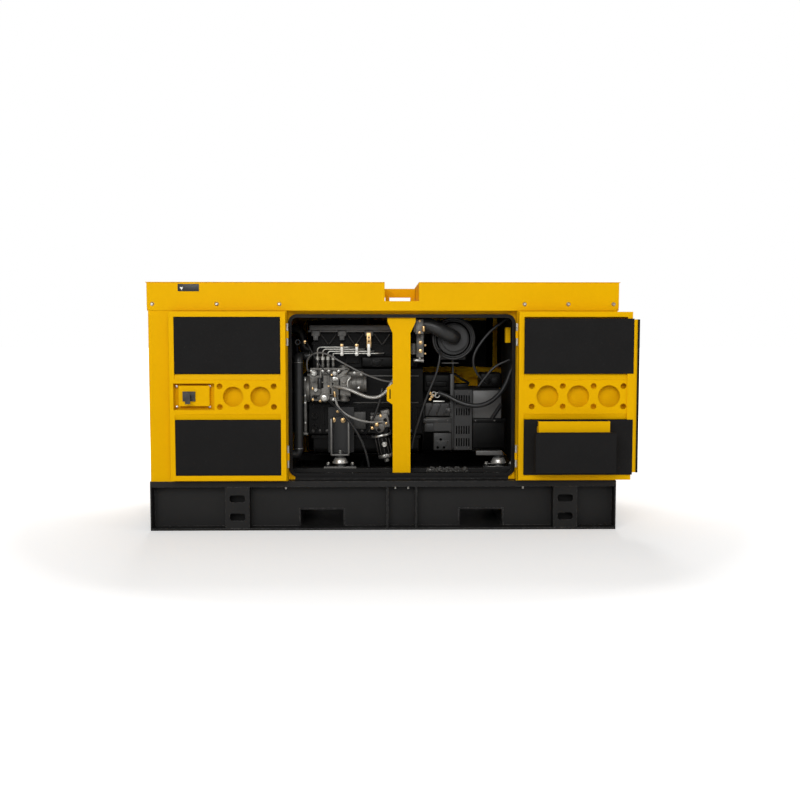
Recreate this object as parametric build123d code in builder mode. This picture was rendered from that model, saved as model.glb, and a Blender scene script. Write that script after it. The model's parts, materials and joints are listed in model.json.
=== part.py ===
from build123d import *
import os
from math import radians, tan

# Skid-mounted diesel generating set in a sound-proof canopy, millimetres.
# Origin: middle of the base underside. +X towards the alternator end, -Y is the side
# whose doors stand open, +Z up.

# Base frame
base_length = 2130.0
base_width = 950.0
base_height = 226.0
base_plate = 6.0
flange_depth = 60.0
lip_height = 26.0
bottom_flange = 10.0
anchor_radius = 9.0
anchor_inset_x = 90.0
anchor_inset_y = 30.0

# Everything that lifts or carries lies evenly about the balance plane
lift_x = 81.0
fork_offset = 368.5
fork_width = 197.0
fork_height = 75.0
lash_offset = 750.5
lash_width = 110.0
slot_length = 71.0
slot_width = 34.0
slot_levels = (62.0, 146.0)
gusset_offset = 66.0
sill_height = 27.0
sill_depth = 34.0

# Canopy
canopy_top = 1130.0
sheet = 3.0
skirt_height = 128.0
roof_lap = 1.0
roof_lip = 4.0
opening_width = 1044.0
opening_shift = 2.0
recess_depth = 59.0
opening_head = 973.0
notch_width = 155.0
notch_depth = 85.0
seal_width = 16.0
seal_depth = 11.0
seal_corner = 40.0
pillar_width = 82.0
pillar_depth = 40.0

# Doors
door_depth = 45.0
door_bottom = 238.0
door_top = 996.0
door_gap = 4.0
left_leaf_width = 519.0
leaf_meeting_gap = 6.0
lip_width = 23.0
band_low = 513.0
band_high = 718.0
band_crease = 26.0
band_fall = 8.0
band_hole_radius = 45.0
band_hole_radius_wide = 49.5
band_small_radius = 13.0
band_hole_level = 617.0
band_small_rise = 46.0
foam_gap = 1.0
foam_proud = 2.0
hinge_radius = 7.0
pin_radius = 4.0
pin_play = 0.05
hinge_levels = (340.0, 894.0)
knuckle_length = 34.0
hinge_stand_off = 8.0

# Latch handle
latch_u = 435.0
latch_level = 620.0
latch_box_u = (344.0, 482.0)
latch_box_z = (574.0, 666.0)
latch_window_u = (321.0, 503.0)
latch_window_z = (557.0, 676.0)
latch_box_depth = 33.0
spindle_radius = 8.0

# Drive line
shaft_z = 475.0
fan_z = 640.0
charger_y = 190.0
charger_z = 660.0
shaft_radius = 30.0
shaft_play = 0.05
crank_pulley_radius = 75.0
fan_pulley_radius = 55.0
charger_pulley_radius = 35.0
belt_play = 0.4
belt_thickness = 8.0
fan_radius = 220.0
fan_clearance = 15.0
fan_blades = 8
block_front = -365.0
block_back = 190.0
block_half = 150.0
block_bottom = 400.0
casting_wall = 16.0
block_top = 735.0
housing_back = 330.0
generator_length = 240.0
generator_half = 165.0
generator_bottom = 320.0
generator_top = 630.0
rail_y = 285.0
rail_width = 56.0
rail_height = 36.0
mount_height = 60.0
mount_radius = 28.0

# Worked out from the sizes above
half_length = base_length / 2
half_width = base_width / 2
web_y = half_width - flange_depth
wall_y = half_width - sheet - roof_lap
frame_y = wall_y - recess_depth
skirt_bottom = canopy_top - skirt_height
opening_middle = lift_x + opening_shift
opening_left = opening_middle - opening_width / 2
opening_right = opening_middle + opening_width / 2
right_leaf_width = opening_width - left_leaf_width - 2 * door_gap - leaf_meeting_gap
hinge_y = wall_y + hinge_stand_off
left_hinge_x = opening_left + door_gap / 2
right_hinge_x = opening_right - door_gap / 2
sill_top = base_height + sill_height
trough_floor = canopy_top - notch_depth
pillar_top = canopy_top - notch_depth - 70
rail_top = base_height + rail_height
mount_top = rail_top + mount_height
pulley_front = block_front - 40
pulley_back = block_front - 10
window_y = (-60.0, 300.0)
window_z = (640.0, 940.0)
stop_y = -230.0
stop_z = 800.0
end_x = half_length - sheet - roof_lap
panel_hinge = (end_x + 8, window_y[1] + 20)

os.makedirs("parts", exist_ok=True)


def save(piece, name):
    """Labels a finished piece and writes its STEP file."""
    piece.part.label = name
    export_step(piece.part, f"parts/{name}.step")


def save_group(pieces, name):
    """Writes pieces that are welded together as one file, each with its own solids."""
    group = Compound([solid for piece in pieces for solid in piece.part.solids()])
    group.label = name
    export_step(group, f"parts/{name}.step")


def slab(xs, ys, zs, mode=Mode.ADD):
    """Box between two values on each axis, given in either order."""
    low = [min(pair) for pair in (xs, ys, zs)]
    size = [abs(pair[1] - pair[0]) for pair in (xs, ys, zs)]
    with Locations([tuple(a + b / 2 for a, b in zip(low, size))]):
        Box(*size, mode=mode)


def rod(start, end, radius, mode=Mode.ADD):
    """Round bar from one point to another."""
    run = Vector(*end) - Vector(*start)
    with BuildSketch(Plane(origin=start, z_dir=run)) as section:
        Circle(radius)
    extrude(section.sketch, amount=run.length, mode=mode)


def cone(start, end, radius_start, radius_end):
    """Tapered round bar from one point to another."""
    run = Vector(*end) - Vector(*start)
    with BuildSketch(Plane(origin=start, z_dir=run)) as first:
        Circle(radius_start)
    with BuildSketch(Plane(origin=end, z_dir=run)) as last:
        Circle(radius_end)
    loft([first.sketch, last.sketch])


def bend_radii(points, widest):
    """Bend at every corner of a route: as wide as its two runs allow, up to the widest."""
    radii = []
    for before, corner, after in zip(points, points[1:], points[2:]):
        first = Vector(*corner) - Vector(*before)
        second = Vector(*after) - Vector(*corner)
        turn = radians(first.get_angle(second))
        radii.append(min(widest, 0.45 * min(first.length, second.length) / tan(turn / 2)))
    return radii


def tube(points, radius, widest=2000.0):
    """Hose or pipe along straight runs joined by tangent arcs."""
    with BuildLine() as route:
        FilletPolyline(*points, radius=bend_radii(points, widest))
    with BuildSketch(Plane(origin=route.line @ 0, z_dir=route.line % 0)) as section:
        Circle(radius)
    sweep(section.sketch, path=route.line)


def hexagon(centre, direction, across, height):
    """Bolt head or nut standing on a face."""
    with BuildSketch(Plane(origin=centre, z_dir=direction)) as section:
        RegularPolygon(across / 2, 6, major_radius=False)
    extrude(section.sketch, amount=height)


# ---- base -------------------------------------------------------------------------
lash_centres = [lift_x - lash_offset, lift_x + lash_offset]
fork_centres = [lift_x - fork_offset, lift_x + fork_offset]
gusset_centres = [lift_x - gusset_offset, lift_x + gusset_offset]
cross_members = [lift_x - 900, lift_x - 565, lift_x, lift_x + 565, lift_x + 900]
fork_bottom = bottom_flange
pocket_outer = fork_width / 2 + base_plate
cut_play = 0.5

rail_end = half_length - base_plate
inner_y = web_y - base_plate
with BuildPart() as side_rails:
    for side in (-1, 1):
        face = side * half_width
        web = side * web_y
        slab((-rail_end, rail_end), (face, face - side * base_plate),
             (base_height - lip_height, base_height))
        slab((-rail_end, rail_end), (face, web - side * base_plate),
             (base_height - base_plate, base_height))
        slab((-rail_end, rail_end), (web, web - side * base_plate), (0, base_height))
        slab((-rail_end, rail_end), (face, web), (0, bottom_flange))
    for centre in fork_centres:
        slab((centre - pocket_outer - cut_play, centre + pocket_outer + cut_play),
             (-web_y, web_y), (fork_bottom - base_plate - cut_play,
                               fork_bottom + fork_height + base_plate + cut_play),
             mode=Mode.SUBTRACT)
    with BuildSketch(Plane.XY):
        with GridLocations(base_length - 2 * anchor_inset_x, base_width - 2 * anchor_inset_y, 2, 2):
            Circle(anchor_radius)
    extrude(amount=bottom_flange, mode=Mode.SUBTRACT)

with BuildPart() as rail_gussets:
    for side in (-1, 1):
        for centre in gusset_centres:
            slab((centre - 4, centre + 4), (side * web_y, side * (half_width - base_plate)),
                 (bottom_flange, base_height - base_plate))

with BuildPart() as end_plates:
    for end in (-1, 1):
        slab((end * half_length, end * rail_end), (-half_width, half_width), (0, base_height))

with BuildPart() as cross_frame:
    for centre in cross_members:
        slab((centre - 30, centre + 30), (-inner_y, inner_y), (base_height - 80, base_height))
    slab((-40, 40), (-inner_y, inner_y), (0, 8))

with BuildPart() as engine_rails:
    for side in (-1, 1):
        slab((lift_x - 540, lift_x + 540),
             (side * rail_y - rail_width / 2, side * rail_y + rail_width / 2),
             (base_height, rail_top))
        slab((opening_left + 28, opening_right - 28), (side * frame_y, side * (frame_y - sill_depth)),
             (base_height, sill_top))
save_group([side_rails, rail_gussets, end_plates, cross_frame, engine_rails], "base_frame")

with BuildPart() as lashing_plates:
    for side in (-1, 1):
        face = side * half_width
        for centre in lash_centres:
            edge = lash_width / 2
            slab((centre - edge, centre + edge), (face, face - side * base_plate),
                 (bottom_flange, base_height - lip_height))
            for cheek in (-edge, edge - base_plate):
                slab((centre + cheek, centre + cheek + base_plate),
                     (face, side * web_y), (bottom_flange, base_height - lip_height))
        with BuildSketch(Plane(origin=(0, face, 0), z_dir=(0, side, 0), x_dir=(-side, 0, 0))):
            with Locations([(-side * x, z) for x in lash_centres for z in slot_levels]):
                RectangleRounded(slot_length, slot_width, 12)
        extrude(amount=-base_plate, mode=Mode.SUBTRACT)
save(lashing_plates, "lashing_plates")

with BuildPart() as fork_pockets:
    for centre in fork_centres:
        slab((centre - pocket_outer, centre + pocket_outer), (-web_y, web_y),
             (fork_bottom - base_plate, fork_bottom + fork_height + base_plate))
        slab((centre - fork_width / 2, centre + fork_width / 2), (-web_y, web_y),
             (fork_bottom, fork_bottom + fork_height), mode=Mode.SUBTRACT)
save(fork_pockets, "fork_pockets")

tank_x = (fork_centres[0] + pocket_outer + 20, fork_centres[1] - pocket_outer - 20)
tank_y = inner_y - 24
filler_x = tank_x[0] + 45
filler_y = tank_y - 44
filler_top = base_height + 60
with BuildPart() as fuel_tank:
    slab(tank_x, (-tank_y, tank_y), (16, base_height - 84))
    fillet(fuel_tank.edges().filter_by(Axis.Z), 20)
    rod((filler_x, filler_y, base_height - 84), (filler_x, filler_y, filler_top), 24)
    rod((filler_x, filler_y, base_height - 110), (filler_x, filler_y, filler_top), 20, Mode.SUBTRACT)
    hexagon((tank_x[1] - 40, 0, 16), (0, 0, -1), 22, 8)
save(fuel_tank, "fuel_tank")

with BuildPart() as fuel_cap:
    rod((filler_x, filler_y, filler_top - 14), (filler_x, filler_y, filler_top), 19.5)
    rod((filler_x, filler_y, filler_top), (filler_x, filler_y, filler_top + 22), 32)
    slab((filler_x - 28, filler_x + 28), (filler_y - 5, filler_y + 5),
         (filler_top + 22, filler_top + 34))
save(fuel_cap, "fuel_cap")

# ---- canopy shell -----------------------------------------------------------------
panel_top = canopy_top - 10
hole_edge = seal_width


def side_panel(side):
    """Front or rear sheet: two corner panels, the recessed door frame and its returns."""
    outer = side * wall_y
    frame = side * frame_y
    with BuildPart() as panel:
        for corner, edge in ((-end_x, opening_left), (opening_right, end_x)):
            slab((corner, edge), (outer, outer - side * sheet), (base_height, panel_top))
        slab((opening_left - sheet, opening_left), (outer, frame - side * sheet),
             (base_height, panel_top))
        slab((opening_right, opening_right + sheet), (outer, frame - side * sheet),
             (base_height, panel_top))
        slab((opening_left, opening_right), (frame, frame - side * sheet),
             (base_height, panel_top))
        hole_plane = Plane(origin=(opening_middle, frame, 0), z_dir=(0, side, 0), x_dir=(-side, 0, 0))
        hole_low = sill_top
        hole_middle = (hole_low + opening_head) / 2
        with BuildSketch(hole_plane):
            with Locations((0, hole_middle)):
                RectangleRounded(opening_width - 2 * hole_edge, opening_head - hole_low,
                                 seal_corner - hole_edge)
        extrude(amount=-sheet, mode=Mode.SUBTRACT)
        slab((opening_left + 28, opening_right - 28), (frame, frame - side * sheet),
             (base_height, sill_top + 1), mode=Mode.SUBTRACT)
        slab((lift_x - notch_width / 2 - sheet - 1, lift_x + notch_width / 2 + sheet + 1),
             (frame, frame - side * sheet), (trough_floor - sheet - 1, panel_top), mode=Mode.SUBTRACT)
    return panel


save(side_panel(-1), "front_panel")
save(side_panel(1), "rear_panel")

end_y = wall_y - sheet
with BuildPart() as left_end_panel:
    outlet_y = 330.0
    outlet_z = (330.0, 930.0)
    slab((-end_x, -end_x + sheet), (-end_y, end_y), (base_height, panel_top))
    slab((-end_x, -end_x + sheet), (-outlet_y, outlet_y), outlet_z, mode=Mode.SUBTRACT)
    for edge in (-outlet_y, outlet_y):
        slab((-end_x, -end_x + 40), (edge - sheet, edge + sheet), outlet_z)
    blade_count = 12
    pitch = (outlet_z[1] - outlet_z[0]) / blade_count
    for blade in range(blade_count):
        with BuildSketch(Plane(origin=(-end_x + 20, outlet_y, outlet_z[0] + pitch * (blade + 0.5)),
                               z_dir=(0, 1, 0), x_dir=(1, 0, 0))):
            Rectangle(52, sheet, rotation=40)
        extrude(amount=-2 * outlet_y)
save(left_end_panel, "left_end_panel")

with BuildPart() as right_end_panel:
    inlet_y = 320.0
    inlet_z = (300.0, 560.0)
    slab((end_x - sheet, end_x), (-end_y, end_y), (base_height, panel_top))
    slab((end_x - sheet, end_x), window_y, window_z, mode=Mode.SUBTRACT)
    slab((end_x - sheet, end_x), (-inlet_y, inlet_y), inlet_z, mode=Mode.SUBTRACT)
    for edge in (-inlet_y, inlet_y):
        slab((end_x, end_x - 40), (edge - sheet, edge + sheet), inlet_z)
    for blade in range(5):
        with BuildSketch(Plane(origin=(end_x - 20, inlet_y, inlet_z[0] + 52 * (blade + 0.5)),
                               z_dir=(0, 1, 0), x_dir=(1, 0, 0))):
            Rectangle(52, sheet, rotation=-40)
        extrude(amount=-2 * inlet_y)
    rod((end_x - sheet, stop_y, stop_z), (end_x, stop_y, stop_z), 16, Mode.SUBTRACT)
save(right_end_panel, "right_end_panel")

notch_half = notch_width / 2
bar_width = 30.0
bar_height = 43.0
bar_top = canopy_top - 8
notch_x = (lift_x - notch_half - sheet, lift_x + notch_half + sheet)
with BuildPart() as roof_covers:
    slab((-half_length, half_length), (-half_width, half_width), (skirt_bottom, canopy_top - sheet))
    slab((-half_length + sheet, half_length - sheet), (-half_width + sheet, half_width - sheet),
         (skirt_bottom, canopy_top - sheet), mode=Mode.SUBTRACT)
    slab((-half_length - roof_lip, half_length + roof_lip),
         (-half_width - roof_lip, half_width + roof_lip), (canopy_top - sheet, canopy_top))
    slab(notch_x, (-half_width - roof_lip, half_width + roof_lip), (skirt_bottom, canopy_top),
         mode=Mode.SUBTRACT)
    for cut in (-1, 1):
        for corner in (-1, 1):
            with BuildSketch(Plane(origin=(cut * half_length, corner * half_width, skirt_bottom),
                                   z_dir=(0, corner, 0), x_dir=(1, 0, 0))):
                Polygon((0, 0), (-cut * 14, 0), (0, -14 * corner), align=None)
            extrude(amount=-sheet, mode=Mode.SUBTRACT)

with BuildPart() as roof_trough:
    slab(notch_x, (-half_width, half_width), (trough_floor - sheet, canopy_top))
    slab((lift_x - notch_half, lift_x + notch_half), (-half_width, half_width),
         (trough_floor, canopy_top), mode=Mode.SUBTRACT)
    for side in (-1, 1):
        slab(notch_x, (side * half_width, side * (half_width - sheet)),
             (skirt_bottom, trough_floor - sheet))
    for cut in (-1, 1):
        post = lift_x + cut * (notch_half - 15)
        slab((post - 12, post + 12), (-bar_width / 2 - 1, bar_width / 2 + 1),
             (trough_floor - sheet, trough_floor), mode=Mode.SUBTRACT)
save_group([roof_covers, roof_trough], "roof_panel")

saddle_top = trough_floor - 10
beam_top = trough_floor - 22
with BuildPart() as lifting_bar:
    slab((lift_x - notch_half + 1, lift_x + notch_half - 1), (-bar_width / 2, bar_width / 2),
         (bar_top - bar_height, bar_top))
    slab((lift_x - 70, lift_x + 70), (-35, 35), (beam_top, saddle_top))

with BuildPart() as lifting_beam:
    for cut in (-1, 1):
        post = lift_x + cut * (notch_half - 15)
        slab((post - 10, post + 10), (-bar_width / 2, bar_width / 2),
             (saddle_top, bar_top - bar_height))
    slab((lift_x - 25, lift_x + 25), (-frame_y + 9, frame_y - 9), (pillar_top, beam_top))

with BuildPart() as pillars:
    for side in (-1, 1):
        front = side * (frame_y - 4)
        back = front - side * pillar_depth
        pillar_x = (lift_x - pillar_width / 2, lift_x + pillar_width / 2)
        slab(pillar_x, (front, front - side * sheet), (sill_top, pillar_top))
        for edge, turn in ((pillar_x[0], 1), (pillar_x[1], -1)):
            slab((edge, edge + turn * sheet), (front, back), (sill_top, pillar_top))
        for level in (sill_top, pillar_top - sheet):
            slab(pillar_x, (front, back), (level, level + sheet))

with BuildPart() as pillar_gussets:
    for side in (-1, 1):
        for out in (-1, 1):
            edge = lift_x + out * pillar_width / 2
            with BuildSketch(Plane(origin=(edge, side * (frame_y - 4), pillar_top), z_dir=(0, 1, 0),
                                   x_dir=(1, 0, 0))):
                Polygon((0, 0), (out * 24, 0), (out * 24, 22), (0, 75), align=None)
            extrude(amount=-side * sheet)
save_group([lifting_bar, lifting_beam, pillars, pillar_gussets], "lifting_frame")

with BuildPart() as striker_brackets:
    for side, flank in ((-1, -1), (1, -1), (1, 1)):
        face = side * (frame_y - 4)
        root_x = lift_x + flank * pillar_width / 2
        reach = 27.0
        with BuildSketch(Plane(origin=(root_x, face, latch_level), z_dir=(0, 1, 0),
                               x_dir=(1, 0, 0))):
            Polygon((0, -48), (flank * reach, -30), (flank * reach, 30), (0, 48), align=None)
            with Locations((flank * reach * 0.45, 0)):
                Rectangle(6, 44, mode=Mode.SUBTRACT)
        extrude(amount=-side * sheet)
save(striker_brackets, "striker_brackets")

with BuildPart() as door_seals:
    for side in (-1, 1):
        seal_plane = Plane(origin=(opening_middle, side * frame_y, 0), z_dir=(0, side, 0),
                           x_dir=(-side, 0, 0))
        ring_low = sill_top - 13
        ring_high = opening_head + 14
        with BuildSketch(seal_plane):
            with Locations((0, (ring_low + ring_high) / 2)):
                RectangleRounded(opening_width - 2, ring_high - ring_low, seal_corner)
                RectangleRounded(opening_width - 2 - 2 * seal_width,
                                 ring_high - ring_low - 2 * seal_width,
                                 seal_corner - seal_width, mode=Mode.SUBTRACT)
        extrude(amount=seal_depth)
save(door_seals, "door_seals")

bulkhead_x = 640.0
lining = 30.0
with BuildPart() as canopy_foam:
    lining_y = frame_y - 12
    slab((-half_length + 12, lift_x - notch_half - 10), (-lining_y, lining_y),
         (panel_top - lining - 6, panel_top - 6))
    slab((lift_x + notch_half + 10, half_length - 12), (-lining_y, lining_y),
         (panel_top - lining - 6, panel_top - 6))
    slab((bulkhead_x, bulkhead_x + lining), (-frame_y + 20, frame_y - 20),
         (rail_top + 4, panel_top - lining - 20))
save(canopy_foam, "canopy_foam")

with BuildPart() as frame_hinges:
    for side in (-1, 1):
        for hinge_x, way in ((left_hinge_x, -1), (right_hinge_x, 1)):
            for level in hinge_levels:
                axis_y = side * hinge_y
                low = level - 1.5 * knuckle_length
                for start in (low, low + 2 * knuckle_length):
                    rod((hinge_x, axis_y, start + 0.5), (hinge_x, axis_y, start + knuckle_length - 0.5),
                        hinge_radius)
                rod((hinge_x, axis_y, low + 0.5), (hinge_x, axis_y, low + 3 * knuckle_length - 0.5),
                    pin_radius)
                for start in (low, low + 2 * knuckle_length):
                    slab((hinge_x, hinge_x + way * 38), (side * wall_y, side * (wall_y + sheet)),
                         (start + 0.5, start + knuckle_length - 0.5))
    for level in (window_z[0] + 40, window_z[1] - 40):
        for start in (level - 26, level + 12.5):
            rod((*panel_hinge, start), (*panel_hinge, start + 13.5), 5.5)
            slab((end_x, end_x + 3), (panel_hinge[1], panel_hinge[1] + 26), (start, start + 13.5))
        rod((*panel_hinge, level - 26), (*panel_hinge, level + 26), 3)
save(frame_hinges, "frame_hinges")

# Canopy screws: six domes along each long skirt, studs under the top flange
left_panel_middle = (-half_length + opening_left) / 2
right_panel_middle = (half_length + opening_right) / 2
bolt_row = (-half_length + 24, left_panel_middle, opening_left - 32,
            opening_right + 32, right_panel_middle, half_length - 24)
bolt_level = skirt_bottom + 29
with BuildPart() as canopy_bolts:
    for side in (-1, 1):
        for x in bolt_row:
            cone((x, side * half_width, bolt_level), (x, side * (half_width + 6), bolt_level), 10, 5)
        for x in (-451.0, lift_x - 30, lift_x + 30, 640.0):
            rod((x, side * (half_width - 30), base_height - lip_height - 14),
                (x, side * (half_width - 30), base_height - base_plate), 5)
    for end in (-1, 1):
        for y in (-half_width + 60, 0, half_width - 60):
            cone((end * half_length, y, bolt_level), (end * (half_length + 6), y, bolt_level), 10, 5)
save(canopy_bolts, "canopy_bolts")

# ---- doors ------------------------------------------------------------------------


class Leaf:
    """Door frame of reference: u from the hinge line, v inwards from the hinge line."""

    def __init__(self, side, hinge_x, u_way, v_way, width):
        self.origin = (hinge_x, side * hinge_y)
        self.u_way = u_way
        self.v_way = v_way
        self.width = width

    def x(self, u):
        return self.origin[0] + self.u_way * u

    def y(self, v):
        return self.origin[1] + self.v_way * v

    def slab(self, us, vs, zs, mode=Mode.ADD):
        slab([self.x(u) for u in us], [self.y(v) for v in vs], zs, mode)

    def rod(self, u, vs, z, radius, mode=Mode.ADD):
        rod((self.x(u), self.y(vs[0]), z), (self.x(u), self.y(vs[1]), z), radius, mode)


skin = hinge_stand_off
inner = skin + door_depth
edge_u = door_gap / 2
cam_reach = 26.0
leaves = {
    "front_left": Leaf(-1, left_hinge_x, -1, -1, left_leaf_width),
    "front_right": Leaf(-1, right_hinge_x, 1, -1, right_leaf_width),
    "rear_left": Leaf(1, left_hinge_x, 1, -1, left_leaf_width),
    "rear_right": Leaf(1, right_hinge_x, -1, -1, right_leaf_width),
}


def door_shell(leaf, hole_us, hole_radius, small_us, latched, astragal):
    """Sheet pan with a turned-in lip, a pierced stiffening band and its hinge leaves."""
    far = edge_u + leaf.width
    with BuildPart() as door:
        leaf.slab((edge_u, far), (skin, inner), (door_bottom, door_top))
        fillet(door.edges().filter_by(Axis.Z), 2.5)
        leaf.slab((edge_u + sheet, far - sheet), (skin + sheet, inner - sheet),
                  (door_bottom + sheet, door_top - sheet), mode=Mode.SUBTRACT)
        window_u = (edge_u + lip_width, far - lip_width)
        leaf.slab(window_u, (inner - sheet, inner), (band_high - band_crease, door_top - lip_width),
                  mode=Mode.SUBTRACT)
        leaf.slab(window_u, (inner - sheet, inner),
                  (door_bottom + lip_width, band_low + band_crease), mode=Mode.SUBTRACT)
        for edge, turn in ((band_low, 1), (band_high, -1)):
            leaf.slab((edge_u + sheet, far - sheet), (skin + sheet, inner - band_fall),
                      (edge, edge + turn * sheet))
            handed = leaf.u_way * leaf.v_way
            with BuildSketch(Plane(origin=(leaf.x(window_u[0]), leaf.y(inner), 0),
                                   z_dir=(leaf.u_way, 0, 0), x_dir=(0, leaf.v_way, 0))) as slope:
                Polygon((0, handed * (edge + turn * band_crease)),
                        (-band_fall, handed * edge),
                        (-band_fall - sheet, handed * edge),
                        (-sheet, handed * (edge + turn * band_crease)), align=None)
            extrude(slope.sketch, amount=window_u[1] - window_u[0])
        for u in hole_us:
            leaf.rod(u, (inner - sheet, inner), band_hole_level, hole_radius, Mode.SUBTRACT)
        for u in small_us:
            for rise in (-band_small_rise, band_small_rise):
                leaf.rod(u, (inner - sheet, inner), band_hole_level + rise, band_small_radius,
                         Mode.SUBTRACT)
        if latched:
            leaf.slab(latch_window_u, (inner - sheet, inner), latch_window_z, mode=Mode.SUBTRACT)
            leaf.slab(latch_box_u, (skin, skin + latch_box_depth), latch_box_z)
            leaf.slab((latch_box_u[0] + sheet, latch_box_u[1] - sheet),
                      (skin, skin + latch_box_depth - sheet),
                      (latch_box_z[0] + sheet, latch_box_z[1] - sheet), mode=Mode.SUBTRACT)
            leaf.rod(latch_u, (skin, skin + latch_box_depth), latch_level,
                     spindle_radius + pin_play, Mode.SUBTRACT)
        if astragal:
            leaf.slab((far - lip_width, far), (inner, inner + 1), (door_bottom + 34, door_top - 34))
            leaf.slab((far - lip_width, far + 20), (inner + 1, inner + 4),
                      (door_bottom + 34, door_top - 34))
        for level in hinge_levels:
            start = level - knuckle_length / 2 + 0.5
            stop = level + knuckle_length / 2 - 0.5
            knuckle = [(leaf.x(0), leaf.y(0), z) for z in (start, stop)]
            rod(*knuckle, hinge_radius)
            leaf.slab((0, 34), (skin - sheet, skin), (start, stop))
            rod(*knuckle, pin_radius + pin_play, Mode.SUBTRACT)
    return door


def door_foam(leaf, with_baffle):
    """Two sound-absorbing pads, and the block on the air baffle where there is one."""
    far = edge_u + leaf.width
    us = (edge_u + lip_width + foam_gap, far - lip_width - foam_gap)
    vs = (skin + sheet + foam_gap, inner + foam_proud)
    with BuildPart() as foam:
        leaf.slab(us, vs, (band_high + foam_gap, door_top - lip_width - foam_gap))
        leaf.slab(us, vs, (door_bottom + lip_width + foam_gap, band_low - foam_gap))
        if with_baffle:
            leaf.slab(baffle_block_u, (baffle_out + foam_gap, baffle_out + foam_gap + block_depth),
                      baffle_block_z)
            for levels in ((band_high + foam_gap, door_top - 30), (door_bottom + 30, band_low - foam_gap)):
                leaf.slab((baffle_block_u[1] + 2, us[1]), (inner, pad_over), levels)
                leaf.slab((us[1], far + 4), (pad_over - 3, pad_over), levels)
    return foam


baffle_u = (84.0, 402.0)
baffle_z = (276.0, 509.0)
baffle_out = inner + 60.0
pad_over = inner + 7.5
baffle_block_u = (64.0, 422.0)
baffle_block_z = (286.0, 466.0)
block_depth = 42.0

door_features = {
    "front_left": ((115.5, 237.0), band_hole_radius, (56.0, 176.5, 297.0), True, False),
    "front_right": ((131.5, 270.0, 409.0), band_hole_radius_wide, (61.0, 200.5, 339.5, 474.0),
                    False, True),
    "rear_left": ((115.5, 237.0), band_hole_radius, (56.0, 176.5, 297.0), True, False),
    "rear_right": ((115.5, 237.0), band_hole_radius, (56.0, 176.5, 297.0), True, False),
}
for name, leaf in leaves.items():
    save(door_shell(leaf, *door_features[name]), f"{name}_door")
    save(door_foam(leaf, name == "front_right"), f"{name}_foam")
    if door_features[name][3]:
        with BuildPart() as handle:
            leaf.rod(latch_u, (skin + 4, inner + cam_reach), latch_level, spindle_radius)
            leaf.slab((latch_u - 38, latch_u + 14), (skin + 2, skin + 14),
                      (latch_level - 12, latch_level + 12))
            leaf.slab((latch_u - 11, latch_u + 11), (inner + cam_reach - 4, inner + cam_reach),
                      (latch_level - 34, latch_level + 12))
        save(handle, f"{name}_handle")
        with BuildPart() as latch_case:
            leaf.slab((latch_u - 28, latch_u + 28), (skin + latch_box_depth, inner - 4),
                      (latch_level - 24, latch_level + 20))
            leaf.rod(latch_u, (skin + latch_box_depth, inner - 4), latch_level, spindle_radius + 1,
                     Mode.SUBTRACT)
        if name == "front_left":
            save(latch_case, "front_left_latch_case")

right_leaf = leaves["front_right"]
with BuildPart() as front_right_baffle:
    lip_face = inner + foam_proud + foam_gap
    right_leaf.slab(baffle_u, (lip_face, baffle_out), baffle_z)
    right_leaf.slab((baffle_u[0] + sheet, baffle_u[1] - sheet), (lip_face, baffle_out - sheet),
                    (baffle_z[0] + sheet, baffle_z[1]), mode=Mode.SUBTRACT)
    right_leaf.slab(baffle_u, (lip_face, baffle_out - 26), (baffle_z[1] - 26, baffle_z[1]),
                    mode=Mode.SUBTRACT)
save(front_right_baffle, "front_right_baffle")

with BuildPart() as front_right_edge_seal:
    far = edge_u + right_leaf_width
    right_leaf.slab((far + 20, far + 29), (inner + 1, inner + 9), (door_bottom + 34, door_top - 34))
save(front_right_edge_seal, "front_right_edge_seal")

# ---- engine -----------------------------------------------------------------------
mount_xs = (-208.0, 546.0)
with BuildPart() as engine_block:
    slab((block_front, block_back), (-block_half, block_half), (block_bottom, block_top))
    fillet(engine_block.edges().filter_by(Axis.X), 14)
    for x in range(-300, 151, 90):
        slab((x - 8, x + 8), (-block_half - 12, block_half + 12), (block_bottom + 20, 560))
    slab((block_front + 20, block_back), (-block_half - 12, block_half + 12), (540, 556))
    rod((block_back, 0, shaft_z), (housing_back, 0, shaft_z), 182)
    rod((block_back + 8, 0, shaft_z), (housing_back, 0, shaft_z), 168, Mode.SUBTRACT)
    slab((block_front + casting_wall, block_back - casting_wall),
         (-block_half + casting_wall, block_half - casting_wall),
         (block_bottom + casting_wall, block_top - casting_wall), mode=Mode.SUBTRACT)
    rod((block_front, 0, shaft_z), (housing_back, 0, shaft_z), shaft_radius + shaft_play, Mode.SUBTRACT)
    rod((block_front, 0, fan_z), (block_front + 60, 0, fan_z), 12 + shaft_play, Mode.SUBTRACT)
    for z in (446.0, 499.0):
        rod((-338, -block_half - 20, z), (-338, -block_half, z), 15)
        rod((-338, -block_half - 20, z), (-338, -block_half - 8, z), 8, Mode.SUBTRACT)
    for x, z in ((-250.0, 440.0), (-180.0, 440.0), (-215.0, 530.0)):
        rod((x, -block_half - 14, z), (x, -block_half, z), 9)
save(engine_block, "engine_block")

with BuildPart() as oil_sump:
    slab((block_front + 20, block_back - 20), (-130, 130), (300, block_bottom - 12))
    fillet(oil_sump.edges().filter_by(Axis.X).group_by(Axis.Z)[0], 40)
    slab((block_front + 10, block_back - 10), (-142, 142), (block_bottom - 12, block_bottom))
    slab((block_front + 26, block_back - 26), (-124, 124), (306, block_bottom - 10), mode=Mode.SUBTRACT)
    hexagon((-40, 0, 300), (0, 0, -1), 22, 10)
save(oil_sump, "oil_sump")

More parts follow.
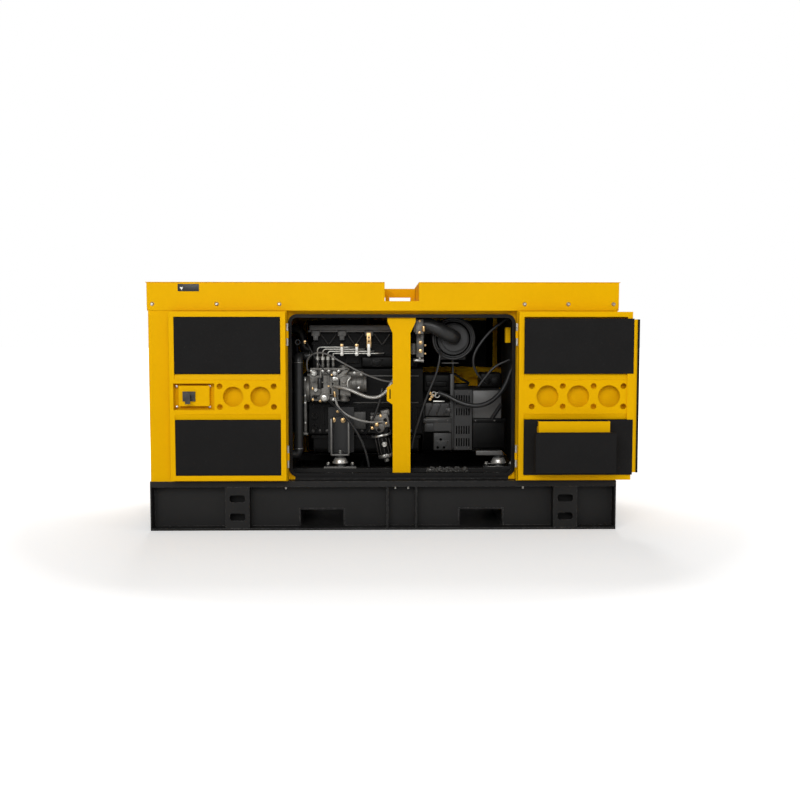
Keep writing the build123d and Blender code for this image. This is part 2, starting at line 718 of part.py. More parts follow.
with BuildPart() as cylinder_head:
    slab((block_front + 10, block_back - 20), (-128, 128), (block_top, block_top + 110))
    fillet(cylinder_head.edges().filter_by(Axis.Z), 12)
    slab((block_front + 10 + casting_wall, block_back - 20 - casting_wall),
         (-128 + casting_wall, 128 - casting_wall),
         (block_top + casting_wall, block_top + 110 - casting_wall), mode=Mode.SUBTRACT)
    for index in range(4):
        slab((-300 + 118 * index, -240 + 118 * index), (-142, -128), (block_top + 20, block_top + 96))
save(cylinder_head, "cylinder_head")

cover_bottom = block_top + 110
with BuildPart() as rocker_cover:
    slab((block_front + 20, block_back - 40), (-110, 110), (cover_bottom, cover_bottom + 84))
    fillet(rocker_cover.edges().filter_by(Axis.X).group_by(Axis.Z)[-1], 30)
    slab((block_front + 12, block_back - 32), (-118, 118), (cover_bottom, cover_bottom + 10))
    slab((block_front + 26, block_back - 46), (-104, 104), (cover_bottom + 6, cover_bottom + 78),
         mode=Mode.SUBTRACT)
    rod((block_back - 90, 0, cover_bottom + 84), (block_back - 90, 0, cover_bottom + 100), 26)
save(rocker_cover, "rocker_cover")

pump_x = (-352.0, -160.0)
pump_y = (-255.0, -block_half - 12.5)
pump_z = (578.0, 735.0)
valve_xs = (-318.0, -293.0, -268.0, -243.0)
valve_top = pump_z[1] + 38
with BuildPart() as injection_pump:
    slab(pump_x, pump_y, (pump_z[0] + 20, pump_z[1] - 30))
    fillet(injection_pump.edges().filter_by(Axis.X), 10)
    slab((pump_x[0] + 8, pump_x[1] - 50), (pump_y[0] + 12, pump_y[1] - 8), (pump_z[0], pump_z[1]))
    rod((pump_x[1], -208, 660), (pump_x[1] + 76, -208, 660), 44)
    for x in valve_xs:
        rod((x, -215, pump_z[1]), (x, -215, valve_top), 7)
    rod((-330, pump_y[0] - 8, 712), (-330, pump_y[0], 712), 13)
    rod((-283, pump_y[0] - 16, 598), (-283, pump_y[0], 598), 22)
    rod((-366, -215, 700), (-352, -215, 700), 10)
save(injection_pump, "injection_pump")

lever_pivot = (-225.0, pump_y[0], 684.0)
with BuildPart() as governor_lever:
    rod((lever_pivot[0], pump_y[0] - 1, lever_pivot[2]), (lever_pivot[0], pump_y[0] - 9, lever_pivot[2]),
        13)
    with BuildSketch(Plane(origin=(lever_pivot[0], pump_y[0] - 3, lever_pivot[2]), z_dir=(0, -1, 0),
                           x_dir=(1, 0, 0))):
        with Locations(Location((24, 20), 40)):
            SlotOverall(76, 16)
    extrude(amount=5)
save(governor_lever, "governor_lever")

with BuildPart() as injector_pipes:
    for index, x in enumerate(valve_xs):
        level = 834 - 10 * index
        reach = x + 150 + 22 * index
        hexagon((x, -215, valve_top), (0, 0, 1), 17, 16)
        tube([(x, -215, valve_top + 16), (x, -215, level), (reach, -215, level),
              (reach + 26, -190 + 4 * index, level), (reach + 26, -143, level)], 3,
             widest=16)
save(injector_pipes, "injector_pipes")

with BuildPart() as fuel_filter:
    slab((-68, 20), (-250, -176), (424, 500))
    fillet(fuel_filter.edges().filter_by(Axis.Y), 14)
    bowl_top = (-16, -213, 428)
    bowl_axis = Vector(0.21, 0, -1).normalized()
    rod(bowl_top, Vector(*bowl_top) + bowl_axis * 16, 42)
    cone(Vector(*bowl_top) + bowl_axis * 16, Vector(*bowl_top) + bowl_axis * 132, 36, 33)
    rod((-24, -176, 470), (-24, -162.5, 470), 14)
    for x, z in ((-56.0, 455.0), (-24.0, 440.0), (6.0, 488.0)):
        hexagon((x, -250, z), (0, -1, 0), 16, 12)
save(fuel_filter, "fuel_filter")

with BuildPart() as starter_motor:
    rod((block_back - 170, 215, 560), (block_back - 10, 215, 560), 42)
    rod((block_back - 150, 262, 622), (block_back - 40, 262, 622), 26)
    slab((block_back - 140, block_back - 50), (225, 255), (590, 620))
    slab((block_back - 150, block_back - 60), (162.5, 190), (540, 580))
save(starter_motor, "starter_motor")

with BuildPart() as charging_alternator:
    rod((block_front, charger_y + 20, charger_z), (block_front + 120, charger_y + 20, charger_z), 58)
    rod((block_front, charger_y, charger_z), (block_front + 30, charger_y, charger_z),
        8 + shaft_play, Mode.SUBTRACT)
save(charging_alternator, "charging_alternator")

with BuildPart() as charging_pulley:
    rod((pulley_front, charger_y, charger_z), (pulley_back, charger_y, charger_z), charger_pulley_radius)
    rod((pulley_back, charger_y, charger_z), (block_front + 29, charger_y, charger_z), 8)
save(charging_pulley, "charging_pulley")

with BuildPart() as crank_pulley:
    rod((pulley_front, 0, shaft_z), (pulley_back, 0, shaft_z), crank_pulley_radius)
    rod((pulley_front, 0, shaft_z), (pulley_front - 8, 0, shaft_z), 30)
    rod((pulley_back - 14, 0, shaft_z), (pulley_back, 0, shaft_z), shaft_radius, Mode.SUBTRACT)
save(crank_pulley, "crank_pulley")

with BuildPart() as crankshaft:
    rod((pulley_back - 14, 0, shaft_z), (block_back + 30, 0, shaft_z), shaft_radius)
    rod((block_back + 30, 0, shaft_z), (block_back + 62, 0, shaft_z), 150)
save(crankshaft, "crankshaft")

rotor_start = block_back + 62
with BuildPart() as generator_rotor:
    rod((rotor_start, 0, shaft_z), (housing_back + generator_length - 14, 0, shaft_z), shaft_radius)
    rod((housing_back + 50, 0, shaft_z), (housing_back + generator_length - 50, 0, shaft_z), 98)
    rod((rotor_start, 0, shaft_z), (rotor_start + 14, 0, shaft_z), 120)
save(generator_rotor, "generator_rotor")

hub_front = pulley_front - 62
with BuildPart(Plane(origin=(hub_front + 22, 0, fan_z), z_dir=(1, 0, 0), x_dir=(0, 1, 0))) as fan_blade:
    with Locations(Location((fan_radius / 2 + 15, 0, 0), (26, 0, 0))):
        Box(fan_radius - 30, 62, 4)

with BuildPart() as cooling_fan:
    rod((pulley_front, 0, fan_z), (pulley_back, 0, fan_z), fan_pulley_radius)
    rod((pulley_back, 0, fan_z), (block_front + 59, 0, fan_z), 12)
    rod((hub_front, 0, fan_z), (pulley_front, 0, fan_z), 40)
    for index in range(fan_blades):
        add(fan_blade.part.rotate(Axis((0, 0, fan_z), (1, 0, 0)), index * 360 / fan_blades))
save(cooling_fan, "cooling_fan")

belt_plane = Plane(origin=(pulley_front + 6, 0, 0), z_dir=(1, 0, 0), x_dir=(0, 1, 0))
pulleys = ((0, shaft_z, crank_pulley_radius), (0, fan_z, fan_pulley_radius),
           (charger_y, charger_z, charger_pulley_radius))
with BuildPart() as fan_belt:
    for grow, how in ((belt_play + belt_thickness, Mode.ADD), (belt_play, Mode.SUBTRACT)):
        with BuildSketch(belt_plane):
            for y, z, radius in pulleys:
                with Locations((y, z)):
                    Circle(radius + grow)
            make_hull()
        extrude(amount=18, mode=how)
save(fan_belt, "fan_belt")

radiator_front = block_front - 215
core_y = 300.0
tank_low = 296.0
tank_high = 960.0
with BuildPart() as radiator:
    slab((radiator_front, radiator_front + 60), (-core_y, core_y), (tank_low + 44, tank_high - 60))
    slab((radiator_front - 10, radiator_front + 70), (-core_y, core_y), (tank_low, tank_low + 50))
    slab((radiator_front - 10, radiator_front + 70), (-core_y, core_y), (tank_high - 66, tank_high))
    rod((radiator_front + 60, 0, fan_z), (radiator_front + 138, 0, fan_z), fan_radius + fan_clearance + 4)
    rod((radiator_front + 60, 0, fan_z), (radiator_front + 138, 0, fan_z), fan_radius + fan_clearance,
        Mode.SUBTRACT)
    rod((radiator_front + 30, 0, tank_high), (radiator_front + 30, 0, tank_high + 18), 24)
    for side in (-1, 1):
        slab((radiator_front - 6, radiator_front + 66), (side * core_y, side * (core_y + 6)),
             (tank_low - 34, tank_high))
        slab((radiator_front - 20, radiator_front + 80), (side * (core_y + 6), side * (core_y - 60)),
             (base_height, tank_low))
    slab((radiator_front + 62, radiator_front + 66), (core_y + 6, end_y - 8), (rail_top, tank_high))
    slab((radiator_front + 62, radiator_front + 66), (-core_y - 6, -end_y + 8), (rail_top, tank_high))
save(radiator, "radiator")

hose_radius = 21.0
hose_x = block_front - 41
with BuildPart() as coolant_hoses:
    tube([(block_front + 10, 60, 815), (block_front - 36, 60, 815), (block_front - 52, 60, 925),
          (radiator_front + 70, 60, 925)], hose_radius, widest=34)
    tube([(radiator_front + 70, -262, 322), (hose_x, -262, 322), (hose_x, -262, 790),
          (hose_x, -118, 790), (block_front + 10, -118, 790)], hose_radius, widest=60)

muffler_x = radiator_front - 200
with BuildPart() as exhaust_system:
    slab((-280, 120), (132, 190), (block_top + 20, block_top + 76))
    fillet(exhaust_system.edges().filter_by(Axis.X), 16)
    tube([(-80, 175, block_top + 70), (-80, 175, 1010), (muffler_x, 175, 1010), (muffler_x, 175, 930)],
         26, widest=60)
    rod((muffler_x, -300, 850), (muffler_x, 300, 850), 84)
    rod((muffler_x, -296, 850), (muffler_x, 296, 850), 80, Mode.SUBTRACT)
    rod((muffler_x, -260, 780), (muffler_x, -260, 700), 24)
save(exhaust_system, "exhaust_system")

cleaner = (336.0, 877.0)
with BuildPart() as air_cleaner:
    rod((cleaner[0], -240, cleaner[1]), (cleaner[0], 20, cleaner[1]), 100)
    rod((cleaner[0], -240, cleaner[1]), (cleaner[0], -256, cleaner[1]), 62)
    tube([(cleaner[0], -256, cleaner[1]), (cleaner[0] - 2, -312, cleaner[1] + 4),
          (cleaner[0] - 76, -318, cleaner[1] + 36), (212, -312, 928), (184, -276, 926),
          (176, -238, 904), (172, -204, 868)], 26, widest=50)
    slab((cleaner[0] - 60, cleaner[0] + 60), (-170, -120), (cleaner[1] - 104, cleaner[1] - 60))
    slab((cleaner[0] - 4, cleaner[0] + 4), (-165, -125), (generator_top, cleaner[1] - 100))
save(air_cleaner, "air_cleaner")

with BuildPart() as engine_mounts:
    for side in (-1, 1):
        for x in mount_xs:
            centre_y = side * rail_y
            slab((x - 75, x + 75), (centre_y - 27, centre_y + 27), (rail_top, rail_top + 8))
            cone((x, centre_y, rail_top + 8), (x, centre_y, mount_top - 8), mount_radius, 22)
            rod((x, centre_y, mount_top - 8), (x, centre_y, mount_top), 26)
            for bolt in (-58, 58):
                hexagon((x + bolt, centre_y, rail_top + 8), (0, 0, 1), 18, 9)
        x = mount_xs[0]
        slab((x - 41, x + 41), (side * (rail_y + 22), side * (block_half + 25)), (mount_top, mount_top + 8))
        slab((x - 41, x + 41), (side * (rail_y - 57), side * (rail_y - 63)), (mount_top, mount_top + 175))
        slab((x - 41, x + 41), (side * (rail_y - 57), side * (block_half + 25)),
             (mount_top + 169, mount_top + 175))
        for edge in (-41, 35):
            slab((x + edge, x + edge + 6), (side * (rail_y + 22), side * (block_half + 25)),
                 (mount_top, mount_top + 175))
        slab((x - 62, x + 62), (side * (block_half + 25), side * (block_half + 15)),
             (mount_top, mount_top + 220))
        x = mount_xs[1]
        slab((x - 70, x + 20), (side * (rail_y + 26), side * (generator_half + 1)),
             (mount_top, mount_top + 14))
save(engine_mounts, "engine_mounts")

# ---- alternator and electrics -----------------------------------------------------
generator_x = (housing_back + 1, housing_back + generator_length)
with BuildPart() as generator_housing:
    slab(generator_x, (-generator_half, generator_half), (generator_bottom, generator_top))
    fillet(generator_housing.edges().filter_by(Axis.X), 34)
    rod((generator_x[0], 0, shaft_z), (generator_x[1] - 12, 0, shaft_z), 112, Mode.SUBTRACT)
    slab((generator_x[0] - 90, generator_x[0] - 6), (-generator_half - 52, -generator_half - 22),
         (430, 470))
    slab((generator_x[0] - 90, generator_x[0] + 60), (-generator_half - 26, -generator_half - 20),
         (430, 440))
    slab((generator_x[0] + 6, generator_x[0] + 60), (-generator_half - 26, -generator_half), (430, 440))
save(generator_housing, "generator_housing")

vent_x = (generator_x[0] + 8, generator_x[0] + 96)
with BuildPart() as vent_cover:
    slab(vent_x, (-generator_half - 27, -generator_half - 30), (335, 627))
    slab((vent_x[0], vent_x[0] + 3), (-generator_half - 30, -generator_half - 1), (445, 627))
    slab((vent_x[1] - 3, vent_x[1]), (-generator_half - 30, -generator_half), (360, 590))
    cover_plane = Plane(origin=((vent_x[0] + vent_x[1]) / 2, -generator_half - 30, 0), z_dir=(0, -1, 0),
                        x_dir=(1, 0, 0))
    with BuildSketch(cover_plane):
        for level, height in ((578, 46), (520, 34), (432, 40), (372, 40)):
            with Locations((0, level)):
                with GridLocations(12, 1, 6, 1):
                    Rectangle(6, height)
    extrude(amount=-sheet, mode=Mode.SUBTRACT)
save(vent_cover, "vent_cover")

battery_x = (bulkhead_x + 80, bulkhead_x + 290)
with BuildPart() as battery:
    slab(battery_x, (-400, -225), (base_height, base_height + 190))
    fillet(battery.edges().filter_by(Axis.Z), 8)
    for x in (battery_x[0] + 35, battery_x[1] - 35):
        rod((x, -255, base_height + 190), (x, -255, base_height + 206), 9)
save(battery, "battery")

box_back = end_x - 190
box_front = end_x - 60
with BuildPart() as control_box:
    slab((box_back, box_front), (window_y[0] - 40, window_y[1] + 40), (window_z[0] - 20, window_z[1] + 20))
    fillet(control_box.edges().filter_by(Axis.X), 6)
    slab((box_back + sheet, box_front - sheet),
         (window_y[0] - 40 + sheet, window_y[1] + 40 - sheet),
         (window_z[0] - 20 + sheet, window_z[1] + 20 - sheet), mode=Mode.SUBTRACT)
    slab((box_front, box_front + 8), (20, 150), (810, 900))
    slab((box_front, box_front + 10), (190, 270), (800, 900))
    slab((box_back + 20, box_front - 20), (window_y[0] - 40, window_y[0] - 52), (660, 700))
    slab((box_front - 2, end_x - 30), (stop_y - 20, stop_y + 20), (stop_z - 20, stop_z + 20))
    slab((box_front - 8, box_front), (stop_y + 10, window_y[0] - 40), (stop_z - 10, stop_z + 10))
    slab((box_back + 10, box_back + 40), (-20, 20), (base_height, window_z[0] - 20))
    slab((box_back + 10, box_back + 40), (240, 280), (base_height, window_z[0] - 20))
    rod((box_front, 60, 720), (box_front + 9, 60, 720), 16)
    rod((box_front, 60, 720), (box_front + 9, 60, 720), 10.05, Mode.SUBTRACT)
save(control_box, "control_box")

breaker_pivot = (box_front + 11.5, 230.0, 850.0)
with BuildPart() as breaker_lever:
    rod((breaker_pivot[0] + 6, 205, 850), (breaker_pivot[0] + 6, 255, 850), 5)
    slab((breaker_pivot[0] + 2, breaker_pivot[0] + 10), (218, 242), (850, 884))
save(breaker_lever, "breaker_lever")

with BuildPart() as key_switch:
    rod((box_front + 0.5, 60, 720), (box_front + 12, 60, 720), 10)
    slab((box_front + 12, box_front + 22), (57, 63), (706, 734))
save(key_switch, "key_switch")

with BuildPart() as stop_button:
    rod((end_x - 20, stop_y, stop_z), (end_x + 14, stop_y, stop_z), 16 - 2 * pin_play)
    cone((end_x + 14, stop_y, stop_z), (end_x + 24, stop_y, stop_z), 28, 24)
save(stop_button, "stop_button")

with BuildPart() as panel_door:
    slab((end_x + 2, end_x + 6), (window_y[0] - 12, window_y[1] + 12), (window_z[0] - 12, window_z[1] + 12))
    fillet(panel_door.edges().filter_by(Axis.X), 12)
    for level in (window_z[0] + 40, window_z[1] - 40):
        slab((end_x + 3, end_x + 6), (window_y[1] + 6, panel_hinge[1]), (level - 12, level + 12))
        rod((*panel_hinge, level - 12), (*panel_hinge, level + 12), 5.5)
        rod((*panel_hinge, level - 12), (*panel_hinge, level + 12), 3.05, Mode.SUBTRACT)
    rod((end_x + 6, window_y[0] + 10, 790), (end_x + 14, window_y[0] + 10, 790), 11)
save(panel_door, "panel_door")

# ---- hoses and cables ---------------------------------------------------------------
with BuildPart() as fuel_hoses:
    tube([(-362, -230, 718), (-372, -246, 756), (-352, -262, 800), (-308, -272, 816), (-262, -280, 802),
          (-214, -286, 772), (-160, -292, 740), (-104, -296, 712), (-46, -298, 688), (6, -298, 674),
          (50, -292, 670), (84, -270, 684), (102, -230, 702), (104, -190, 712)], 4)
    tube([(-240, -265, 650), (-206, -284, 646), (-160, -298, 634), (-112, -304, 612), (-64, -306, 596),
          (-20, -304, 600), (12, -298, 626), (32, -288, 662), (56, -278, 696), (90, -262, 722),
          (118, -240, 738)], 9)
    tube([(-236, -262, 606), (-228, -276, 570), (-206, -290, 536), (-166, -298, 508), (-118, -300, 490),
          (-70, -296, 480), (-34, -284, 478), (-8, -266, 480)], 5.5)
save_group([coolant_hoses, fuel_hoses], "engine_hoses")

with BuildPart() as wiring_harness:
    tube([(-262, -268, 560), (-244, -282, 534), (-206, -314, 510), (-158, -319, 476), (-124, -316, 430),
          (-100, -313, 380), (-84, -311, 330), (-76, -306, 272)], 4)
    tube([(262, -250, 770), (250, -256, 736), (234, -262, 690), (214, -266, 640), (190, -264, 580),
          (166, -260, 520), (148, -256, 470), (136, -252, 420), (130, -248, 372)], 4.5)
    tube([(590, -250, 960), (556, -252, 948), (510, -254, 908), (470, -254, 860), (446, -252, 806),
          (450, -250, 752), (470, -248, 700)], 4)
    tube([(262, -232, 616), (300, -246, 604), (346, -258, 578), (394, -266, 560), (440, -268, 554),
          (486, -264, 562), (528, -256, 586), (562, -244, 620), (588, -232, 660), (606, -220, 706),
          (624, -210, 748)], 10)
save(wiring_harness, "wiring_harness")
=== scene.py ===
import bpy
import json
from math import radians, sin, cos, pi
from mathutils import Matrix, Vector


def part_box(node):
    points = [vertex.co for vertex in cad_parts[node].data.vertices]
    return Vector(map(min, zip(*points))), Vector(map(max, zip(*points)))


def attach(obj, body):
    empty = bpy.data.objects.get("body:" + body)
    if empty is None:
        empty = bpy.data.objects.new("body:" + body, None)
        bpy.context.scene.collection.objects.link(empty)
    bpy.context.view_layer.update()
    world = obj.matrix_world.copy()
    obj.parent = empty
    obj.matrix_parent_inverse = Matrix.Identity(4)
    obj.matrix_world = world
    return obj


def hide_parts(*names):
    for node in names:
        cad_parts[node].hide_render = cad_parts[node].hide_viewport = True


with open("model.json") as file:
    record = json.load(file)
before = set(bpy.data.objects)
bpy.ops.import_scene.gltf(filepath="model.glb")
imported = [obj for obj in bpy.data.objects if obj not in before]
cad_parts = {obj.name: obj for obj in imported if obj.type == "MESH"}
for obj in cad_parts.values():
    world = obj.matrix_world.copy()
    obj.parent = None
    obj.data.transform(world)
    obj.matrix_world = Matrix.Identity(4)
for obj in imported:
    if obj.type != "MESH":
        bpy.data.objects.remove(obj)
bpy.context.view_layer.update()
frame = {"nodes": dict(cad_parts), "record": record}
nodes = frame["nodes"]
scene = bpy.context.scene
print("frame loaded")

# camera

camera = {"place": (-0.010, -4.775, 0.893), "tilt": 86.07, "turn": -1.1, "lens": 42.7}
cameraData = bpy.data.cameras.new("camera")
cameraData.lens = camera["lens"]
cameraData.sensor_width = 36
cameraObject = bpy.data.objects.new("camera", cameraData)
cameraObject.location = camera["place"]
cameraObject.rotation_euler = (radians(camera["tilt"]), 0, radians(camera["turn"]))
scene.collection.objects.link(cameraObject)
scene.camera = cameraObject
scene.view_settings.view_transform = "Standard"


# working tools

ahead = (0, -1, 0)
upward = (0, 0, 1)


def clearSelection():
    if bpy.context.mode != "OBJECT":
        bpy.ops.object.mode_set(mode="OBJECT")
    bpy.ops.object.select_all(action="DESELECT")


def pickUp(obj):
    clearSelection()
    obj.select_set(True)
    bpy.context.view_layer.objects.active = obj


def settle(obj):
    pickUp(obj)
    bpy.ops.object.transform_apply(location=True, rotation=True, scale=True)


def useModifier(obj, kind, **settings):
    pickUp(obj)
    modifier = obj.modifiers.new(kind.lower(), kind)
    for key, value in settings.items():
        setattr(modifier, key, value)
    bpy.ops.object.modifier_apply(modifier=modifier.name)


def roundEdges(obj, width, segments=2):
    useModifier(obj, "BEVEL", width=width, segments=segments, limit_method="ANGLE", angle_limit=radians(32))
    pickUp(obj)
    bpy.ops.object.shade_smooth_by_angle(angle=radians(38))


def block(name, low, high, edge=0.0015, segments=2):
    clearSelection()
    middle = [(a + b) / 2 for a, b in zip(low, high)]
    bpy.ops.mesh.primitive_cube_add(size=1, location=middle)
    obj = bpy.context.object
    obj.name = name
    obj.scale = [abs(b - a) for a, b in zip(low, high)]
    settle(obj)
    if edge:
        roundEdges(obj, edge, segments)
    return obj


def turned(name, start, end, radius, tip=None, sides=28, edge=0.001):
    clearSelection()
    run = Vector(end) - Vector(start)
    bpy.ops.mesh.primitive_cone_add(vertices=sides, radius1=radius, radius2=radius if tip is None else tip,
                                    depth=run.length, location=(Vector(start) + Vector(end)) / 2)
    obj = bpy.context.object
    obj.name = name
    obj.rotation_mode = "QUATERNION"
    obj.rotation_quaternion = Vector((0, 0, 1)).rotation_difference(run)
    settle(obj)
    obj.rotation_mode = "XYZ"
    if edge:
        roundEdges(obj, edge)
    return obj


def ring(name, at, direction, radius, wire, sides=40):
    clearSelection()
    bpy.ops.mesh.primitive_torus_add(major_radius=radius, minor_radius=wire, major_segments=sides,
                                     minor_segments=10, location=at)
    obj = bpy.context.object
    obj.name = name
    obj.rotation_mode = "QUATERNION"
    obj.rotation_quaternion = Vector((0, 0, 1)).rotation_difference(Vector(direction))
    settle(obj)
    obj.rotation_mode = "XYZ"
    pickUp(obj)
    bpy.ops.object.shade_smooth()
    return obj


def screw(name, at, direction, across, height=None):
    height = height or across * 0.55
    push = Vector(direction).normalized()
    base = Vector(at)
    washer = turned(name + "Washer", base, base + push * across * 0.16, across * 0.78, sides=20, edge=0.0003)
    head = turned(name, base + push * across * 0.14, base + push * (across * 0.14 + height), across * 0.56,
                  sides=6, edge=across * 0.05)
    return together(name, [head, washer])


def together(name, pieces):
    clearSelection()
    for piece in pieces:
        piece.select_set(True)
    bpy.context.view_layer.objects.active = pieces[0]
    bpy.ops.object.join()
    obj = bpy.context.object
    obj.name = name
    return obj


def weld(name, pieces, finish, body="set"):
    return wear(together(name, pieces), finish, body)


def hose(name, points, radius, body="set", finish=None, replaces=()):
    curve = bpy.data.curves.new(name, "CURVE")
    curve.dimensions = "3D"
    curve.resolution_u = 10
    spline = curve.splines.new("NURBS")
    spline.points.add(len(points) - 1)
    for knot, place in zip(spline.points, points):
        knot.co = (*[v / 1000 for v in place], 1)
    spline.order_u = 3
    spline.use_endpoint_u = True
    curve.bevel_depth = radius / 1000
    curve.bevel_resolution = 5
    curve.use_fill_caps = True
    obj = bpy.data.objects.new(name, curve)
    scene.collection.objects.link(obj)
    wear(obj, finish, body, replaces)
    return obj


def wear(obj, finish, body="set", replaces=()):
    obj.data.materials.clear()
    obj.data.materials.append(finish)
    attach(obj, body)
    if replaces:
        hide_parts(*replaces)
    return obj


# shared shader groups

def newGroup(name, inputs, outputs):
    tree = bpy.data.node_groups.new(name, "ShaderNodeTree")
    for label, kind, value in inputs:
        socket = tree.interface.new_socket(label, in_out="INPUT", socket_type="NodeSocket" + kind)
        if value is not None:
            socket.default_value = value
    for label, kind in outputs:
        tree.interface.new_socket(label, in_out="OUTPUT", socket_type="NodeSocket" + kind)
    return tree, tree.nodes.new("NodeGroupInput"), tree.nodes.new("NodeGroupOutput")


def node(tree, kind, **settings):
    made = tree.nodes.new("ShaderNode" + kind)
    for key, value in settings.items():
        setattr(made, key, value)
    return made


def join(tree, source, target):
    tree.links.new(source, target)


def mixColour(tree, factor, first, second, blend="MIX"):
    mix = node(tree, "Mix", data_type="RGBA", blend_type=blend)
    for socket, value in ((mix.inputs[0], factor), (mix.inputs[6], first), (mix.inputs[7], second)):
        if hasattr(value, "is_linked"):
            join(tree, value, socket)
        else:
            socket.default_value = value
    return mix.outputs[2]


def maths(tree, operation, first, second, clamp=False):
    made = node(tree, "Math", operation=operation, use_clamp=clamp)
    for socket, value in ((made.inputs[0], first), (made.inputs[1], second)):
        if hasattr(value, "is_linked"):
            join(tree, value, socket)
        else:
            socket.default_value = value
    return made.outputs[0]


def spread(tree, value, low, high, newLow=0.0, newHigh=1.0):
    made = node(tree, "MapRange")
    join(tree, value, made.inputs[0])
    for socket, number in zip(list(made.inputs)[1:5], (low, high, newLow, newHigh)):
        socket.default_value = number
    return made.outputs[0]


# uneven tone: broad clouds with fine mottling over them
cloudTree, cloudIn, cloudOut = newGroup("unevenTone", [("Vector", "Vector", None), ("Broad", "Float", 3.0),
                                                       ("Fine", "Float", 60.0)], [("Tone", "Float")])
broad = node(cloudTree, "TexNoise")
fine = node(cloudTree, "TexNoise")
for noise, label in ((broad, "Broad"), (fine, "Fine")):
    join(cloudTree, cloudIn.outputs["Vector"], noise.inputs["Vector"])
    join(cloudTree, cloudIn.outputs[label], noise.inputs["Scale"])
    noise.inputs["Detail"].default_value = 4
cloudSum = maths(cloudTree, "ADD", maths(cloudTree, "MULTIPLY", broad.outputs[0], 0.65),
                 maths(cloudTree, "MULTIPLY", fine.outputs[0], 0.35))
join(cloudTree, spread(cloudTree, cloudSum, 0.34, 0.66), cloudOut.inputs["Tone"])

# edge wear and painted edge highlight: where a rounded normal leaves the true one, broken up by noise
edgeTree, edgeIn, edgeOut = newGroup("edgeWearAndHighlight", [("Vector", "Vector", None), ("Width", "Float", 0.002),
                                                  ("Breakup", "Float", 90.0)],
                                     [("Mask", "Float"), ("Normal", "Vector")])
soft = node(edgeTree, "Bevel", samples=4)
join(edgeTree, edgeIn.outputs["Width"], soft.inputs["Radius"])
sharp = node(edgeTree, "NewGeometry")
across = node(edgeTree, "VectorMath", operation="DOT_PRODUCT")
join(edgeTree, soft.outputs[0], across.inputs[0])
join(edgeTree, sharp.outputs["Normal"], across.inputs[1])
crumble = node(edgeTree, "TexNoise")
join(edgeTree, edgeIn.outputs["Vector"], crumble.inputs["Vector"])
join(edgeTree, edgeIn.outputs["Breakup"], crumble.inputs["Scale"])
edgeMask = maths(edgeTree, "MULTIPLY", spread(edgeTree, across.outputs["Value"], 0.995, 0.9),
                 spread(edgeTree, crumble.outputs[0], 0.4, 0.62))
join(edgeTree, edgeMask, edgeOut.inputs["Mask"])
join(edgeTree, soft.outputs[0], edgeOut.inputs["Normal"])

# light dust that settles on what faces up
dustTree, dustIn, dustOut = newGroup("settledDust", [("Vector", "Vector", None), ("Amount", "Float", 0.2)],
                                     [("Mask", "Float")])
facing = node(dustTree, "NewGeometry")
split = node(dustTree, "SeparateXYZ")
join(dustTree, facing.outputs["Normal"], split.inputs[0])
dustNoise = node(dustTree, "TexNoise")
dustNoise.inputs["Scale"].default_value = 26
dustNoise.inputs["Detail"].default_value = 6
join(dustTree, dustIn.outputs["Vector"], dustNoise.inputs["Vector"])
dustMask = maths(dustTree, "MULTIPLY", spread(dustTree, split.outputs[2], 0.1, 1.0),
                 spread(dustTree, dustNoise.outputs[0], 0.35, 0.7))
join(dustTree, maths(dustTree, "MULTIPLY", dustMask, dustIn.outputs["Amount"]), dustOut.inputs["Mask"])

# grain: bumps of one size, for paint, castings and rubber
grainTree, grainIn, grainOut = newGroup("grain", [("Vector", "Vector", None), ("Scale", "Float", 300.0)],
                                        [("Height", "Float")])
grainNoise = node(grainTree, "TexNoise")
grainNoise.inputs["Detail"].default_value = 3
join(grainTree, grainIn.outputs["Vector"], grainNoise.inputs["Vector"])
join(grainTree, grainIn.outputs["Scale"], grainNoise.inputs["Scale"])
join(grainTree, grainNoise.outputs[0], grainOut.inputs["Height"])

# open cells: pits with paler crumbs between them
cellTree, cellIn, cellOut = newGroup("openCells", [("Vector", "Vector", None), ("Scale", "Float", 420.0)],
                                     [("Height", "Float"), ("Crumbs", "Float")])
cells = node(cellTree, "TexVoronoi")
join(cellTree, cellIn.outputs["Vector"], cells.inputs["Vector"])
join(cellTree, cellIn.outputs["Scale"], cells.inputs["Scale"])
crumbs = node(cellTree, "TexNoise")
crumbs.inputs["Scale"].default_value = 170
crumbs.inputs["Detail"].default_value = 5
join(cellTree, cellIn.outputs["Vector"], crumbs.inputs["Vector"])
join(cellTree, cells.outputs["Distance"], cellOut.inputs["Height"])
join(cellTree, spread(cellTree, crumbs.outputs[0], 0.66, 0.78), cellOut.inputs["Crumbs"])

# braid: two sets of diagonal strands along a hose
braidTree, braidIn, braidOut = newGroup("braid", [("Vector", "Vector", None), ("Turns", "Float", 60.0)],
                                        [("Height", "Float")])
braidSplit = node(braidTree, "SeparateXYZ")
join(braidTree, braidIn.outputs["Vector"], braidSplit.inputs[0])
strands = []
for way in (1, -1):
    along = maths(braidTree, "MULTIPLY", braidSplit.outputs[0], braidIn.outputs["Turns"])
    roundabout = maths(braidTree, "MULTIPLY", braidSplit.outputs[1], way * 8.0)
    wave = maths(braidTree, "SINE", maths(braidTree, "MULTIPLY",
                                          maths(braidTree, "ADD", along, roundabout), 2 * pi), 0.0)
    strands.append(wave)
join(braidTree, spread(braidTree, maths(braidTree, "MAXIMUM", *strands), -0.2, 1.0),
     braidOut.inputs["Height"])


